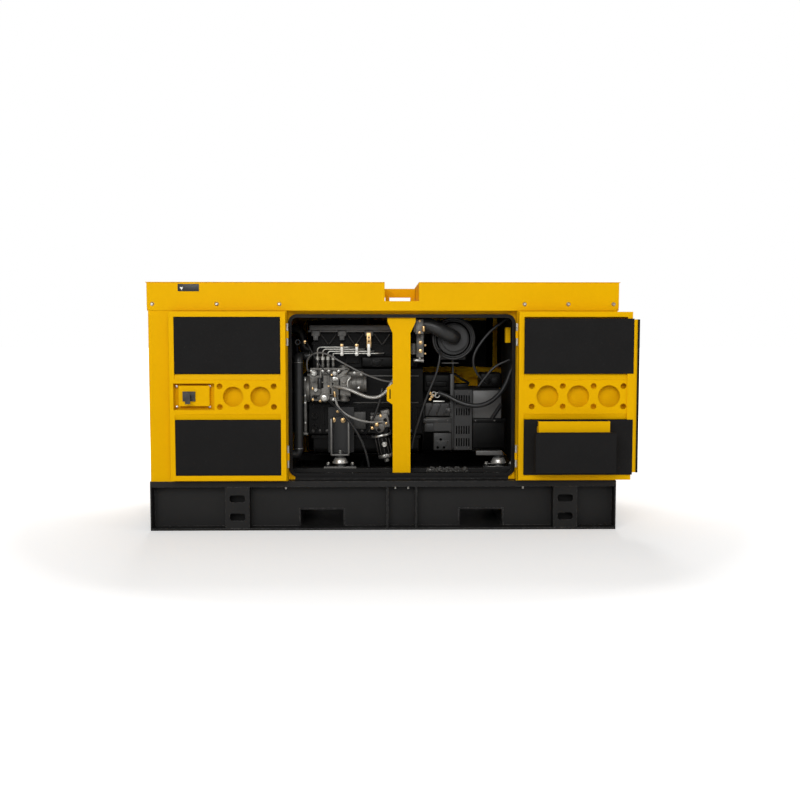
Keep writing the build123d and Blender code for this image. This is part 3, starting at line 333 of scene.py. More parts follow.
def finish(name, slot, base, second=None, rough=(0.4, 0.5), metal=0.0, tone=(3.0, 60.0), grain=300.0,
           depth=0.0002, edge=0.0, edgeWearHighlightColour=None, dust=0.0, coat=0.0, cells=0.0, braided=0.0,
           alpha=1.0, sheen=0.0, shine=0.5):
    made = bpy.data.materials.new(name)
    made.use_nodes = True
    tree = made.node_tree
    shader = tree.nodes["Principled BSDF"]
    place = node(tree, "TexCoord").outputs["UV" if braided else "Object"]

    def group(which):
        used = node(tree, "Group")
        used.node_tree = which
        join(tree, place, used.inputs["Vector"])
        return used

    clouds = group(cloudTree)
    clouds.inputs["Broad"].default_value, clouds.inputs["Fine"].default_value = tone
    second = second or tuple(min(1, c * 0.84) for c in base)
    colour = mixColour(tree, clouds.outputs["Tone"], (*base, 1), (*second, 1))
    height = group(grainTree)
    height.inputs["Scale"].default_value = grain
    relief = height.outputs["Height"]
    if cells:
        pits = group(cellTree)
        pits.inputs["Scale"].default_value = cells
        colour = mixColour(tree, pits.outputs["Crumbs"], colour,
                           (*[min(1, c * 3.2 + 0.015) for c in base], 1))
        relief = pits.outputs["Height"]
    if braided:
        weave = group(braidTree)
        weave.inputs["Turns"].default_value = braided
        relief = weave.outputs["Height"]
        # painted shade: darker colour in the grooves between the braid's strands
        colour = mixColour(tree, weave.outputs["Height"], (*[c * 0.25 for c in base], 1), colour)
    bump = node(tree, "Bump")
    bump.inputs["Strength"].default_value = 0.8
    bump.inputs["Distance"].default_value = depth
    join(tree, relief, bump.inputs["Height"])
    if edge:
        edgeWearAndLight = group(edgeTree)
        edgeWearAndLight.inputs["Width"].default_value = edge
        join(tree, edgeWearAndLight.outputs["Normal"], bump.inputs["Normal"])
        # painted highlight, partly edge wear: edges take a lighter colour that stands in for light catching
        # them
        if edgeWearHighlightColour:
            colour = mixColour(tree, edgeWearAndLight.outputs["Mask"], colour, (*edgeWearHighlightColour, 1))
    if dust:
        settled = group(dustTree)
        settled.inputs["Amount"].default_value = dust
        colour = mixColour(tree, settled.outputs["Mask"], colour, (0.42, 0.4, 0.36, 1))
    join(tree, colour, shader.inputs["Base Color"])
    join(tree, spread(tree, clouds.outputs["Tone"], 0, 1, *rough), shader.inputs["Roughness"])
    join(tree, bump.outputs[0], shader.inputs["Normal"])
    shader.inputs["Metallic"].default_value = metal
    shader.inputs["Coat Weight"].default_value = coat
    shader.inputs["Coat Roughness"].default_value = 0.2
    shader.inputs["Sheen Weight"].default_value = sheen
    shader.inputs["Alpha"].default_value = alpha
    shader.inputs["Specular IOR Level"].default_value = shine
    made["slot"] = slot
    return made


# finishes
# the lighter edge colours in these finishes are painted edge highlights, partly edge wear
canopyPaint = finish("canopyPaint", "canopy_paint", (0.92, 0.497, 0.0008), (0.88, 0.468, 0.0006),
                     rough=(0.36, 0.46), grain=700, depth=0.00006, edge=0.0016,
                     edgeWearHighlightColour=(0.95, 0.56, 0.012), dust=0.004, shine=0.03)
basePaint = finish("basePaint", "base_paint", (0.0095, 0.0091, 0.0089), (0.013, 0.0126, 0.0123),
                   rough=(0.42, 0.56), tone=(5, 90), grain=520, depth=0.00012, edge=0.0022,
                   edgeWearHighlightColour=(0.17, 0.165, 0.16), dust=0.008, shine=0.28)
foamSkin = finish("foamSkin", "door_foam", (0.0115, 0.0112, 0.0112), (0.0155, 0.015, 0.015),
                  rough=(0.85, 0.98), tone=(9, 240), cells=520, depth=0.0011, shine=0.15)
ceilingFoam = finish("ceilingFoam", "canopy_foam", (0.014, 0.014, 0.0145), (0.02, 0.02, 0.02),
                     rough=(0.88, 0.98), tone=(9, 240), cells=420, depth=0.0012)
sealRubber = finish("sealRubber", "seal_rubber", (0.0062, 0.006, 0.006), (0.009, 0.0087, 0.0086),
                    rough=(0.26, 0.4), tone=(14, 200), grain=900, depth=0.00008, shine=0.18)
hoseRubber = finish("hoseRubber", "hose_rubber", (0.016, 0.016, 0.016), (0.024, 0.024, 0.023),
                    rough=(0.34, 0.5), tone=(20, 300), grain=1200, depth=0.00008)
sleeveGrey = finish("sleeveGrey", "hose_rubber", (0.16, 0.155, 0.145), (0.11, 0.105, 0.1), rough=(0.3, 0.5),
                    tone=(20, 300), grain=1500, depth=0.00006)
braidSteel = finish("braidSteel", "hose_rubber", (0.74, 0.72, 0.67), (0.60, 0.58, 0.54), rough=(0.28, 0.42),
                    metal=0.6, tone=(3, 30), braided=34.0, depth=0.0006)
cableSkin = finish("cableSkin", "cable_sleeve", (0.014, 0.014, 0.0145), (0.022, 0.022, 0.022),
                   rough=(0.3, 0.46), tone=(30, 400), grain=1500, depth=0.00005)
zinc = finish("zinc", "zinc_hardware", (0.66, 0.65, 0.61), (0.5, 0.49, 0.46), rough=(0.26, 0.42), metal=0.9,
              tone=(40, 500), grain=900, depth=0.00005, edge=0.0006)
brass = finish("brass", "zinc_hardware", (0.74, 0.50, 0.24), (0.58, 0.38, 0.17), rough=(0.25, 0.4), metal=0.9,
               tone=(40, 500), grain=900, depth=0.00005, edge=0.0006)
darkSteel = finish("darkSteel", "dark_steel", (0.055, 0.052, 0.05), (0.09, 0.085, 0.08), rough=(0.32, 0.5),
                   metal=0.7, tone=(30, 300), grain=600, depth=0.0001, edge=0.0006)
engineBlack = finish("engineBlack", "engine_casting", (0.0030, 0.0029, 0.0028), (0.0068, 0.0066, 0.0064),
                     rough=(0.3, 0.5), tone=(12, 160), grain=260, depth=0.0005, edge=0.0026,
                     edgeWearHighlightColour=(0.09, 0.087, 0.082), dust=0.006, shine=0.12)
rawCasting = finish("rawCasting", "engine_light_casting", (0.235, 0.225, 0.205), (0.085, 0.082, 0.076),
                    rough=(0.36, 0.56), metal=0.55, tone=(22, 220), grain=420, depth=0.0004, edge=0.0012,
                    edgeWearHighlightColour=(0.5, 0.48, 0.45))
greyCasting = finish("greyCasting", "engine_light_casting", (0.085, 0.083, 0.078), (0.055, 0.053, 0.05),
                     rough=(0.4, 0.6), metal=0.3, tone=(22, 220), grain=420, depth=0.0005, edge=0.0014,
                     edgeWearHighlightColour=(0.2, 0.19, 0.18))
drawnPipe = finish("drawnPipe", "steel_pipe", (0.66, 0.65, 0.60), (0.48, 0.47, 0.43), rough=(0.25, 0.4),
                   metal=0.6, tone=(60, 600), grain=1500, depth=0.00004)
blackPlastic = finish("blackPlastic", "black_plastic", (0.014, 0.014, 0.0145), (0.02, 0.02, 0.02),
                      rough=(0.36, 0.5), tone=(18, 200), grain=1100, depth=0.0001, edge=0.0012)
fanPlastic = finish("fanPlastic", "fan_plastic", (0.03, 0.03, 0.031), (0.02, 0.02, 0.02), rough=(0.35, 0.5),
                    tone=(18, 200), grain=900, depth=0.0001, edge=0.001)
bracketPaint = finish("bracketPaint", "core_paint", (0.008, 0.008, 0.008), (0.013, 0.013, 0.0128),
                      rough=(0.34, 0.5), tone=(12, 120), grain=600, depth=0.00012, edge=0.0016,
                      edgeWearHighlightColour=(0.22, 0.215, 0.2))
stainedSteel = finish("stainedSteel", "exhaust_steel", (0.16, 0.13, 0.10), (0.07, 0.055, 0.045),
                      rough=(0.45, 0.7), metal=0.7, tone=(10, 120), grain=400, depth=0.0003, edge=0.001)
generatorGrey = finish("generatorGrey", "generator_paint", (0.030, 0.0292, 0.028), (0.020, 0.0195, 0.0187),
                       rough=(0.4, 0.55), tone=(8, 120), grain=500, depth=0.0002, edge=0.002,
                       edgeWearHighlightColour=(0.12, 0.115, 0.11))
coverPaint = finish("coverPaint", "cover_paint", (0.0175, 0.017, 0.0168), (0.024, 0.0235, 0.023),
                    rough=(0.34, 0.48), tone=(10, 120), grain=600, depth=0.0001, edge=0.0012,
                    edgeWearHighlightColour=(0.1, 0.098, 0.094))
batteryCase = finish("batteryCase", "battery_case", (0.014, 0.014, 0.015), (0.02, 0.02, 0.021),
                     rough=(0.2, 0.35), tone=(10, 120), grain=900, depth=0.00005, edge=0.0015)
controlPaint = finish("controlPaint", "control_paint", (0.024, 0.024, 0.025), (0.032, 0.032, 0.033),
                      rough=(0.38, 0.5), tone=(10, 120), grain=800, depth=0.00008, edge=0.0014)
stopRed = finish("stopRed", "button_red", (0.55, 0.012, 0.01), (0.47, 0.01, 0.008), rough=(0.2, 0.32),
                 tone=(20, 200), grain=1200, depth=0.00004, coat=0.4)
smokedWindow = finish("smokedWindow", "smoked_window", (0.02, 0.02, 0.022), (0.026, 0.026, 0.028),
                      rough=(0.05, 0.1), tone=(6, 80), grain=300, depth=0.00002, alpha=0.55, coat=0.5)
tankSkin = finish("tankSkin", "tank_plastic", (0.018, 0.018, 0.018), (0.026, 0.026, 0.026), rough=(0.45, 0.6),
                  tone=(10, 120), grain=420, depth=0.0004, edge=0.003)
capSkin = finish("capSkin", "cap_plastic", (0.016, 0.016, 0.016), (0.022, 0.022, 0.022), rough=(0.4, 0.55),
                 tone=(20, 160), grain=700, depth=0.0002, edge=0.0015)

finishOfSlot = {
    "canopy_paint": canopyPaint, "base_paint": basePaint, "door_foam": foamSkin, "canopy_foam": ceilingFoam,
    "seal_rubber": sealRubber, "hose_rubber": hoseRubber, "cable_sleeve": cableSkin, "zinc_hardware": zinc,
    "dark_steel": darkSteel, "engine_casting": engineBlack, "engine_light_casting": rawCasting,
    "steel_pipe": drawnPipe, "black_plastic": blackPlastic, "fan_plastic": fanPlastic,
    "core_paint": bracketPaint,
    "exhaust_steel": stainedSteel, "generator_paint": generatorGrey, "cover_paint": coverPaint,
    "battery_case": batteryCase, "control_paint": controlPaint, "button_red": stopRed,
    "smoked_window": smokedWindow, "tank_plastic": tankSkin, "cap_plastic": capSkin,
}
for part in frame["record"]["subparts"]:
    cadNode = nodes[part["node"]]
    cadNode.data.materials.clear()
    cadNode.data.materials.append(finishOfSlot[part["material_slot"]])
print("finishes laid on")


# foam pads, cut from sheet: flat faces, soft cut edges, a slight crown and uneven thickness

padShape = {"edge": 0.004, "crown": 0.0022, "lump": 0.0012, "pitch": 0.035}


def foamPad(name, low, high, body, proudAxis, proudSide, material=foamSkin, crown=None):
    obj = block(name, low, high, edge=0)
    size = [b - a for a, b in zip(low, high)]
    pickUp(obj)
    bpy.ops.object.mode_set(mode="EDIT")
    bpy.ops.mesh.select_all(action="SELECT")
    bpy.ops.mesh.subdivide(number_cuts=max(3, int(max(size) / padShape["pitch"])))
    bpy.ops.object.mode_set(mode="OBJECT")
    useModifier(obj, "BEVEL", width=padShape["edge"], segments=3, limit_method="ANGLE",
                angle_limit=radians(60))
    rise = padShape["crown"] if crown is None else crown
    middle = [(a + b) / 2 for a, b in zip(low, high)]
    flat = [k for k in range(3) if k != proudAxis]
    for vertex in obj.data.vertices:
        co = vertex.co
        if (co[proudAxis] - middle[proudAxis]) * proudSide < size[proudAxis] * 0.3:
            continue
        fade = 1.0
        for k in flat:
            reach = abs(co[k] - middle[k]) / (size[k] / 2)
            fade *= max(0.0, 1 - reach ** 6)
        lump = sin(co[flat[0]] * 31 + 1.3) * sin(co[flat[1]] * 27 + 0.4)
        co[proudAxis] += proudSide * fade * (rise + padShape["lump"] * lump)
    pickUp(obj)
    bpy.ops.object.shade_smooth_by_angle(angle=radians(50))
    wear(obj, material, body)
    return obj


doorNames = ("front_left", "front_right", "rear_left", "rear_right")
door = {"bandLow": 0.513, "bandHigh": 0.718, "sheet": 0.003}
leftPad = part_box("front_left_foam")
for label in doorNames:
    padLow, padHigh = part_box(label + "_foam")
    front, back = padLow[1], padHigh[1]
    bottom, top = padLow[2], padHigh[2]
    if label == "front_right":
        # the pads on this leaf lap over its free edge as far as the meeting strip
        bottom, top = leftPad[0][2], leftPad[1][2] - 0.0065
        front = leftPad[0][1] - 0.0055
        back = front + door["sheet"]
    for step, (low, high) in enumerate(((bottom, door["bandLow"] - 0.001), (door["bandHigh"] + 0.001, top))):
        foamPad(f"{label}Pad{step}", (padLow[0], front, low), (padHigh[0], back, high),
                            label + "_door", 1, -1)
    if label == "front_right":
        baffleLow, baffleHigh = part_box("front_right_baffle")
        foamPad("bafflePad", (baffleLow[0] - 0.020, padLow[1], 0.281),
                            (baffleHigh[0] + 0.020, baffleLow[1] - 0.001, 0.461), label + "_door", 1, -1,
                            crown=0.001)
    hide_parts(label + "_foam")
# fold lines of the bands, and the latch case's corner bolts
foldFace = leftPad[0][1] + 0.002
folds = {"front_left": (-0.929, -0.461), "front_right": (0.627, 1.098)}
for label, (start, end) in folds.items():
    lines = [block("fold", (start, foldFace - 0.0012, z - 0.0014), (end, foldFace + 0.001, z + 0.0014),
                   0.0008) for z in (0.692, 0.539)]
    weld(label + "Folds", lines, canopyPaint, label + "_door")
corners = [screw("latchBolt", (x, -0.502, z), ahead, 0.008) for x in (-0.932, -0.784) for z in (0.570, 0.662)]
weld("latchBolts", corners, zinc, "front_left_door")
for label in ("front_left", "rear_left", "rear_right"):
    nodes[label + "_handle"].data.materials.clear()
    nodes[label + "_handle"].data.materials.append(darkSteel)
print("door pads cut")

# blank plate riveted to the roof skirt
plate = {"x": (-0.925, -0.830), "z": (1.088, 1.121)}
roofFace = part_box("base_frame")[0][1]
wear(block("blankPlate", (plate["x"][0], roofFace - 0.0015, plate["z"][0]),
           (plate["x"][1], roofFace, plate["z"][1]), 0.0006), blackPlastic)
mark = turned("plateMark", (-0.908, roofFace - 0.0021, 1.102), (-0.908, roofFace - 0.0014, 1.102), 0.009,
              sides=3, edge=0)
wear(mark, zinc)

foamLow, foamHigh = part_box("canopy_foam")
trough = {"middle": 0.081, "half": 0.0875}
leftStop, rightStart = trough["middle"] - trough["half"], trough["middle"] + trough["half"]
ceiling = [
    foamPad("ceilingPadLeft", (foamLow[0], -0.400, foamHigh[2] - 0.030), (leftStop, 0.400, foamHigh[2]),
            "set", 2, -1, ceilingFoam),
    foamPad("ceilingPadRight", (rightStart, -0.400, foamHigh[2] - 0.030), (foamHigh[0], 0.400, foamHigh[2]),
            "set", 2, -1, ceilingFoam),
    foamPad("bulkheadPad", (0.640, -0.392, foamLow[2]), (0.670, 0.392, foamHigh[2] - 0.044), "set", 0, -1,
            ceilingFoam),
]
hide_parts("canopy_foam")
print("canopy lining cut")


# engine bay: fuel side

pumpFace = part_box("injection_pump")[0][1] + 0.016
pump = {
    "ribs": (-0.346, -0.300, -0.262, -0.236, -0.222), "ribTop": 0.731, "ribBottom": 0.586,
    "ports": ((-0.333, 0.710, 0.013), (-0.325, 0.632, 0.010), (-0.235, 0.710, 0.011)),
    "brassBolts": ((-0.340, 0.637), (-0.263, 0.649), (-0.339, 0.584), (-0.304, 0.578), (-0.248, 0.700),
                   (-0.213, 0.640)),
    "zincBolts": ((-0.290, 0.722), (-0.262, 0.722), (-0.345, 0.722), (-0.215, 0.722), (-0.240, 0.584)),
}
ribs = [block("rib", (x - 0.0035, pumpFace - 0.006, pump["ribBottom"]),
              (x + 0.0035, pumpFace + 0.01, pump["ribTop"]), 0.002) for x in pump["ribs"]]
ribs.append(block("rib", (-0.352, pumpFace - 0.004, 0.664), (-0.215, pumpFace + 0.01, 0.670), 0.002))
ribs.append(block("rib", (-0.352, pumpFace - 0.004, 0.606), (-0.215, pumpFace + 0.01, 0.612), 0.002))
ribs.append(block("rib", (-0.350, pumpFace - 0.008, 0.724), (-0.165, pumpFace + 0.03, 0.736), 0.002))
weld("pumpRibs", ribs, rawCasting)

ports = []
for x, z, radius in pump["ports"]:
    ports.append(turned("port", (x, pumpFace - 0.010, z), (x, pumpFace, z), radius, edge=0.0015))
    ports.append(ring("portLip", (x, pumpFace - 0.011, z), ahead, radius * 0.72, 0.0022))
ports.append(turned("port", (-0.235, pumpFace - 0.020, 0.685), (-0.235, pumpFace, 0.685), 0.011, sides=6,
                    edge=0.0015))
ports.append(turned("knobStem", (-0.284, pumpFace - 0.010, 0.594), (-0.284, pumpFace, 0.594), 0.019,
                    edge=0.002))
ports.append(turned("knob", (-0.284, pumpFace - 0.026, 0.594), (-0.284, pumpFace - 0.010, 0.594), 0.0155,
                    tip=0.011, edge=0.004))
weld("pumpPorts", ports, zinc)
weld("pumpBrass", [screw("brassBolt", (x, pumpFace - 0.001, z), ahead, 0.0075)
                   for x, z in pump["brassBolts"]] + [turned("ferrule", (-0.236, pumpFace - 0.012, 0.624),
                                                             (-0.2325, pumpFace - 0.014, 0.598), 0.0058)],
     brass)
weld("pumpScrews", [screw("zincBolt", (x, pumpFace - 0.006, z), ahead, 0.009)
                    for x, z in pump["zincBolts"]], zinc)
capsule = turned("stopSolenoid", (-0.306, pumpFace - 0.006, 0.636), (-0.306, pumpFace - 0.006, 0.690),
                 0.010, edge=0.006)
wear(capsule, blackPlastic)

# painted shade: dark patches where the recesses between the pump's ribs and covers fall into shade
gapShadePatches = ((-0.331, -0.312, 0.700, 0.722), (-0.296, -0.288, 0.640, 0.700), (-0.262, -0.250, 0.600, 0.640),
        (-0.247, -0.239, 0.640, 0.668), (-0.334, -0.318, 0.590, 0.603), (-0.216, -0.208, 0.586, 0.726))
weld("pumpGapShade", [block("gap", (x0, pumpFace - 0.0022, z0), (x1, pumpFace + 0.006, z1), 0.0008)
                  for x0, x1, z0, z1 in gapShadePatches], engineBlack)

# flange plate and timing case along the pump's front end
frontPlate = {"x": (-0.386, -0.372), "y": (-0.212, -0.151), "z": (0.414, 0.692)}
plates = [block("plate", (frontPlate["x"][0], frontPlate["y"][0], frontPlate["z"][0]),
                (frontPlate["x"][1], frontPlate["y"][1], frontPlate["z"][1]), 0.003),
          turned("caseRim", (-0.372, -0.2, 0.632), (-0.354, -0.2, 0.632), 0.062, edge=0.003),
          block("foot", (-0.392, -0.222, 0.410), (-0.366, -0.19, 0.424), 0.003)]
weld("timingCase", plates, rawCasting)
weld("caseScrews", [screw("caseBolt", (-0.379, -0.212, z), ahead, 0.007)
                    for z in (0.470, 0.566, 0.600, 0.676)] + [screw("caseFoot", (-0.404, -0.214, 0.428),
                                                                    ahead, 0.013)], zinc)

# round governor drum with stepped rings, and its stepped tail
drum = {"x": -0.190, "y": -0.232, "z": (0.574, 0.748), "radius": 0.021}
drumPieces = [turned("drum", (drum["x"], drum["y"], drum["z"][0]), (drum["x"], drum["y"], drum["z"][1]),
                     drum["radius"], edge=0.002)]
for z in (0.582, 0.606, 0.664, 0.700, 0.738):
    drumPieces.append(turned("drumRing", (drum["x"], drum["y"], z - 0.005), (drum["x"], drum["y"], z + 0.005),
                             drum["radius"] + 0.005, edge=0.002))
for x, radius in ((-0.158, 0.049), (-0.132, 0.045), (-0.100, 0.047)):
    drumPieces.append(turned("tailRing", (x - 0.004, -0.208, 0.660), (x + 0.004, -0.208, 0.660), radius,
                             edge=0.002))
drumPieces.append(block("tailWedge", (-0.176, -0.240, 0.690), (-0.096, -0.196, 0.722), 0.010, 4))
weld("governorDrum", drumPieces, rawCasting)
weld("drumScrews", [screw("drumBolt", (x, -0.262, z), ahead, 0.008)
                    for x, z in ((-0.140, 0.712), (-0.108, 0.706), (-0.166, 0.630), (-0.120, 0.640))], zinc)

# stop lever, a short curved arm with its pin
lever = {"pivot": (-0.225, 0.684), "arm": ((-0.158, 0.692), (-0.170, 0.678), (-0.176, 0.660),
                                           (-0.170, 0.642))}
nodes["governor_lever"].data.materials.clear()
nodes["governor_lever"].data.materials.append(rawCasting)
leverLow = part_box("governor_lever")[0]
wear(turned("leverPin", (lever["pivot"][0], leverLow[1] - 0.005, lever["pivot"][1]),
            (lever["pivot"][0], leverLow[1], lever["pivot"][1]), 0.007), zinc, "governor_lever")

hose("shutOffArm", [(x * 1000, -274, z * 1000) for x, z in lever["arm"]], 5.5, "governor_lever", zinc)

# delivery pipes, one long bend each, under three clips
valves = (-0.318, -0.293, -0.268, -0.243)
unions = []
for index, x in enumerate(valves):
    unions.append(turned("union", (x, -0.215, 0.742), (x, -0.215, 0.756), 0.0075, sides=6, edge=0.0008))
    unions.append(turned("union", (x, -0.215, 0.758), (x, -0.215, 0.768), 0.0062, edge=0.0012))
weld("deliveryUnions", unions, zinc)
clips = []
for x in (-0.201, -0.130, -0.072):
    bottom = 0.795 if x > -0.1 else 0.797
    clips.append(block("clip", (x - 0.008, -0.228, bottom), (x + 0.008, -0.220, 0.850), 0.003, 3))
    clips.append(turned("clipEnd", (x, -0.230, bottom + 0.004), (x, -0.218, bottom + 0.004), 0.009,
                        edge=0.002))
weld("pipeClips", clips, finish("clipZinc", "zinc_hardware", (0.78, 0.77, 0.72), (0.6, 0.58, 0.54),
                                rough=(0.3, 0.45), metal=0.6, tone=(60, 300), grain=900, depth=0.0002))
weld("thermostatPlug", [turned("plug", (-0.376, -0.252, 0.859), (-0.376, -0.226, 0.859), 0.0065),
                        turned("plugNut", (-0.376, -0.240, 0.859), (-0.376, -0.228, 0.859), 0.009,
                               sides=6)], brass)
wear(ring("thermostatLoop", (-0.410, -0.246, 0.858), ahead, 0.011, 0.003), darkSteel)
weld("clipBolts", [screw("clipBolt", (x, -0.228, 0.842), ahead, 0.010) for x in (-0.201, -0.130)], brass)
strap = block("clipStrap", (-0.0825, -0.226, 0.832), (-0.0605, -0.221, 0.904), 0.0016)
strapHoles = [turned("strapHole", (-0.0715, -0.240, z), (-0.0715, -0.2, z), 0.0042, edge=0)
              for z in (0.862, 0.880)]
for hole in strapHoles:
    useModifier(strap, "BOOLEAN", object=hole, operation="DIFFERENCE", solver="EXACT")
    bpy.data.objects.remove(hole)
wear(strap, brass)

# rocker cover rail with hanging brackets, and ribs on the head between them
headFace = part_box("cylinder_head")[0][1]
rail = {"x": (-0.363, 0.036), "y": (-0.142, -0.108), "z": (0.912, 0.941)}
railPieces = [block("rail", (rail["x"][0], rail["y"][0], rail["z"][0]),
                    (rail["x"][1], rail["y"][1], rail["z"][1]), 0.006, 3),
              block("railLip", (rail["x"][0] - 0.006, rail["y"][0] - 0.004, rail["z"][0] - 0.006),
                    (rail["x"][1], rail["y"][1], rail["z"][0] + 0.002), 0.0015)]
for x in (-0.331, -0.203, -0.072):
    railPieces.append(block("hanger", (x - 0.021, rail["y"][0] - 0.010, 0.886),
                            (x + 0.021, rail["y"][1], 0.914), 0.005, 3))
    railPieces.append(block("hangerFoot", (x - 0.012, rail["y"][0] - 0.012, 0.866),
                            (x + 0.012, rail["y"][1], 0.890), 0.004))
weld("coverRail", railPieces, finish("railPaint", "engine_casting", (0.19, 0.185, 0.176),
                                     (0.13, 0.126, 0.12), rough=(0.32, 0.5), tone=(16, 160), grain=300,
                                     depth=0.0005, edge=0.002, edgeWearHighlightColour=(0.26, 0.25, 0.235)))
braces = []
for x, slope in ((-0.288, 1), (-0.248, -1), (-0.160, 1), (-0.118, -1), (-0.028, 1), (0.012, -1)):
    braces.append(turned("brace", (x - 0.018 * slope, headFace - 0.002, 0.898),
                         (x + 0.018 * slope, headFace - 0.002, 0.846), 0.0028, sides=12))
weld("coverBraces", braces, greyCasting)

# intake log with its raised blank panel
intake = [block("intake", (-0.110, -0.178, 0.735), (0.150, headFace, 0.790), 0.010, 3),
          block("intakePanel", (-0.062, -0.186, 0.738), (-0.004, -0.176, 0.776), 0.003),
          block("intakeRaised", (-0.052, -0.189, 0.745), (-0.014, -0.184, 0.769), 0.002)]
weld("intakeLog", intake, engineBlack)

# row of flange screws above the sump, and side covers on the block
weld("sumpScrews", [screw("sumpBolt", (-0.345 + 0.034 * i, -0.150, 0.424), ahead, 0.010)
                    for i in range(15)], darkSteel)
covers = [block("sideCover", (-0.150, -0.166, 0.432), (-0.086, -0.148, 0.520), 0.006, 3),
          block("sideCover", (-0.066, -0.172, 0.436), (0.030, -0.148, 0.516), 0.006, 3),
          turned("coreplug", (0.090, -0.168, 0.470), (0.090, -0.150, 0.470), 0.030, edge=0.003),
          turned("coreplug", (-0.116, -0.172, 0.640), (-0.116, -0.150, 0.640), 0.026, edge=0.003),
          block("fin", (-0.150, -0.163, 0.560), (0.170, -0.150, 0.566), 0.002),
          block("fin", (-0.100, -0.163, 0.690), (0.170, -0.150, 0.697), 0.002)]
for i in range(6):
    covers.append(block("coverRib", (-0.058 + 0.016 * i, -0.177, 0.442),
                        (-0.053 + 0.016 * i, -0.170, 0.510), 0.0015))
weld("sideCovers", covers, greyCasting)

# engine foot: brass bolts on the pad, a stud through the channel and the bright mount cap
weld("footBolts", [screw("footBolt", (x, y, z), ahead, across)
                   for x, y, z, across in ((-0.243, -0.228, 0.484, 0.015), (-0.196, -0.228, 0.483, 0.015),
                                           (-0.224, -0.176, 0.521, 0.010))], brass)
# painted highlight: a light grey laid on edges to stand in for light catching them
edgeHighlightGrey = finish("edgeHighlightGrey", "core_paint", (0.20, 0.195, 0.18), (0.13, 0.125, 0.12),
                     rough=(0.35, 0.5), metal=0.4, tone=(30, 300), grain=700, depth=0.0001)
# painted highlights: light grey strips along the edges of the black mount channel
rimHighlights = []
for x in (-0.249, -0.167):
    rimHighlights.append(block("rim", (x - 0.0035, -0.3085, 0.324), (x + 0.0035, -0.3055, 0.497), 0.0008))
rimHighlights.append(block("rim", (-0.252, -0.3085, 0.3225), (-0.164, -0.3055, 0.3285), 0.0008))
rimHighlights.append(block("rim", (-0.285, -0.3135, 0.262), (-0.131, -0.3115, 0.2705), 0.0008))
weld("channelRimHighlights", rimHighlights, edgeHighlightGrey)
chrome = finish("capSteel", "zinc_hardware", (0.82, 0.80, 0.76), (0.62, 0.6, 0.56), rough=(0.26, 0.36),
                metal=0.75, tone=(40, 400), grain=600, depth=0.00006)
caps = []
for x in (-0.208, 0.546):
    clearSelection()
    bpy.ops.mesh.primitive_uv_sphere_add(segments=36, ring_count=20, radius=0.033,
                                         location=(x, -0.285, 0.290))
    cap = bpy.context.object
    settle(cap)
    pickUp(cap)
    bpy.ops.object.mode_set(mode="EDIT")
    bpy.ops.mesh.select_all(action="SELECT")
    bpy.ops.mesh.bisect(plane_co=(x, -0.285, 0.291), plane_no=(0, 0, 1), clear_inner=True, use_fill=True)
    bpy.ops.object.mode_set(mode="OBJECT")
    for vertex in cap.data.vertices:
        vertex.co.z = 0.291 + (vertex.co.z - 0.291) * 0.86
    bpy.ops.object.shade_smooth_by_angle(angle=radians(40))
    caps.append(cap)
    caps.append(turned("capRim", (x, -0.285, 0.284), (x, -0.285, 0.292), 0.037, edge=0.002))
weld("mountCaps", caps, chrome)
studs = [screw("stud", (-0.208, -0.262, 0.330), upward, 0.016, 0.012)]
for x in (-0.208, 0.546):
    for offset in (-0.058, 0.058):
        studs.append(screw("plateBolt", (x + offset, -0.285, 0.279), upward, 0.013, 0.008))
weld("mountStuds", studs, zinc)
print("engine fuel side built")

# fuel filter: head with brass unions, tilted rim, clear bowl with a bright drain fitting
bowl = {"top": Vector((-0.016, -0.213, 0.428)), "axis": Vector((0.21, 0, -1)).normalized()}
rimAt = bowl["top"] + bowl["axis"] * 0.016
filterBright = [turned("rim", rimAt - bowl["axis"] * 0.004, rimAt + bowl["axis"] * 0.007, 0.049, edge=0.002,
                       sides=40), turned("collar", rimAt + bowl["axis"] * 0.094, rimAt
                                         + bowl["axis"] * 0.112, 0.036, edge=0.003),
                turned("drain", bowl["top"] + bowl["axis"] * 0.132, bowl["top"] + bowl["axis"] * 0.150,
                       0.012, edge=0.002)]
boss = bowl["top"] + bowl["axis"] * 0.060
filterBright.append(turned("sensor", boss + Vector((0.006, -0.044, 0)), boss + Vector((0.006, -0.030, 0)),
                           0.013, edge=0.002))
filterBright.append(ring("sensorLip", boss + Vector((0.006, -0.045, 0)), ahead, 0.010, 0.0022))
weld("filterBright", filterBright, zinc)
bowlRibs = []
for i in range(5):
    angle = radians(-60 + 30 * i)
    start = bowl["top"] + bowl["axis"] * 0.030 + Vector((sin(angle) * 0.037, -cos(angle) * 0.037, 0))
    bowlRibs.append(turned("bowlRib", start, start + bowl["axis"] * 0.088, 0.0022, sides=10, edge=0.0006))
weld("bowlRibs", bowlRibs, darkSteel)
headTop = [block("headWing", (-0.062, -0.256, 0.446), (0.024, -0.250, 0.512), 0.003, 3),
           block("headWing", (-0.060, -0.254, 0.484), (0.022, -0.190, 0.512), 0.006, 3),
           block("headWing", (-0.010, -0.250, 0.500), (0.034, -0.200, 0.530), 0.006, 3),
           turned("headNeck", (-0.024, -0.254, 0.448), (-0.024, -0.262, 0.448), 0.022, edge=0.003)]
filterHead = together("filterHeadCasting", headTop)
pickUp(filterHead)
bpy.ops.object.mode_set(mode="EDIT")
bpy.ops.mesh.select_all(action="SELECT")
bpy.ops.transform.rotate(value=radians(10), orient_axis="Y", center_override=(-0.020, -0.252, 0.480))
bpy.ops.object.mode_set(mode="OBJECT")
wear(filterHead, rawCasting)
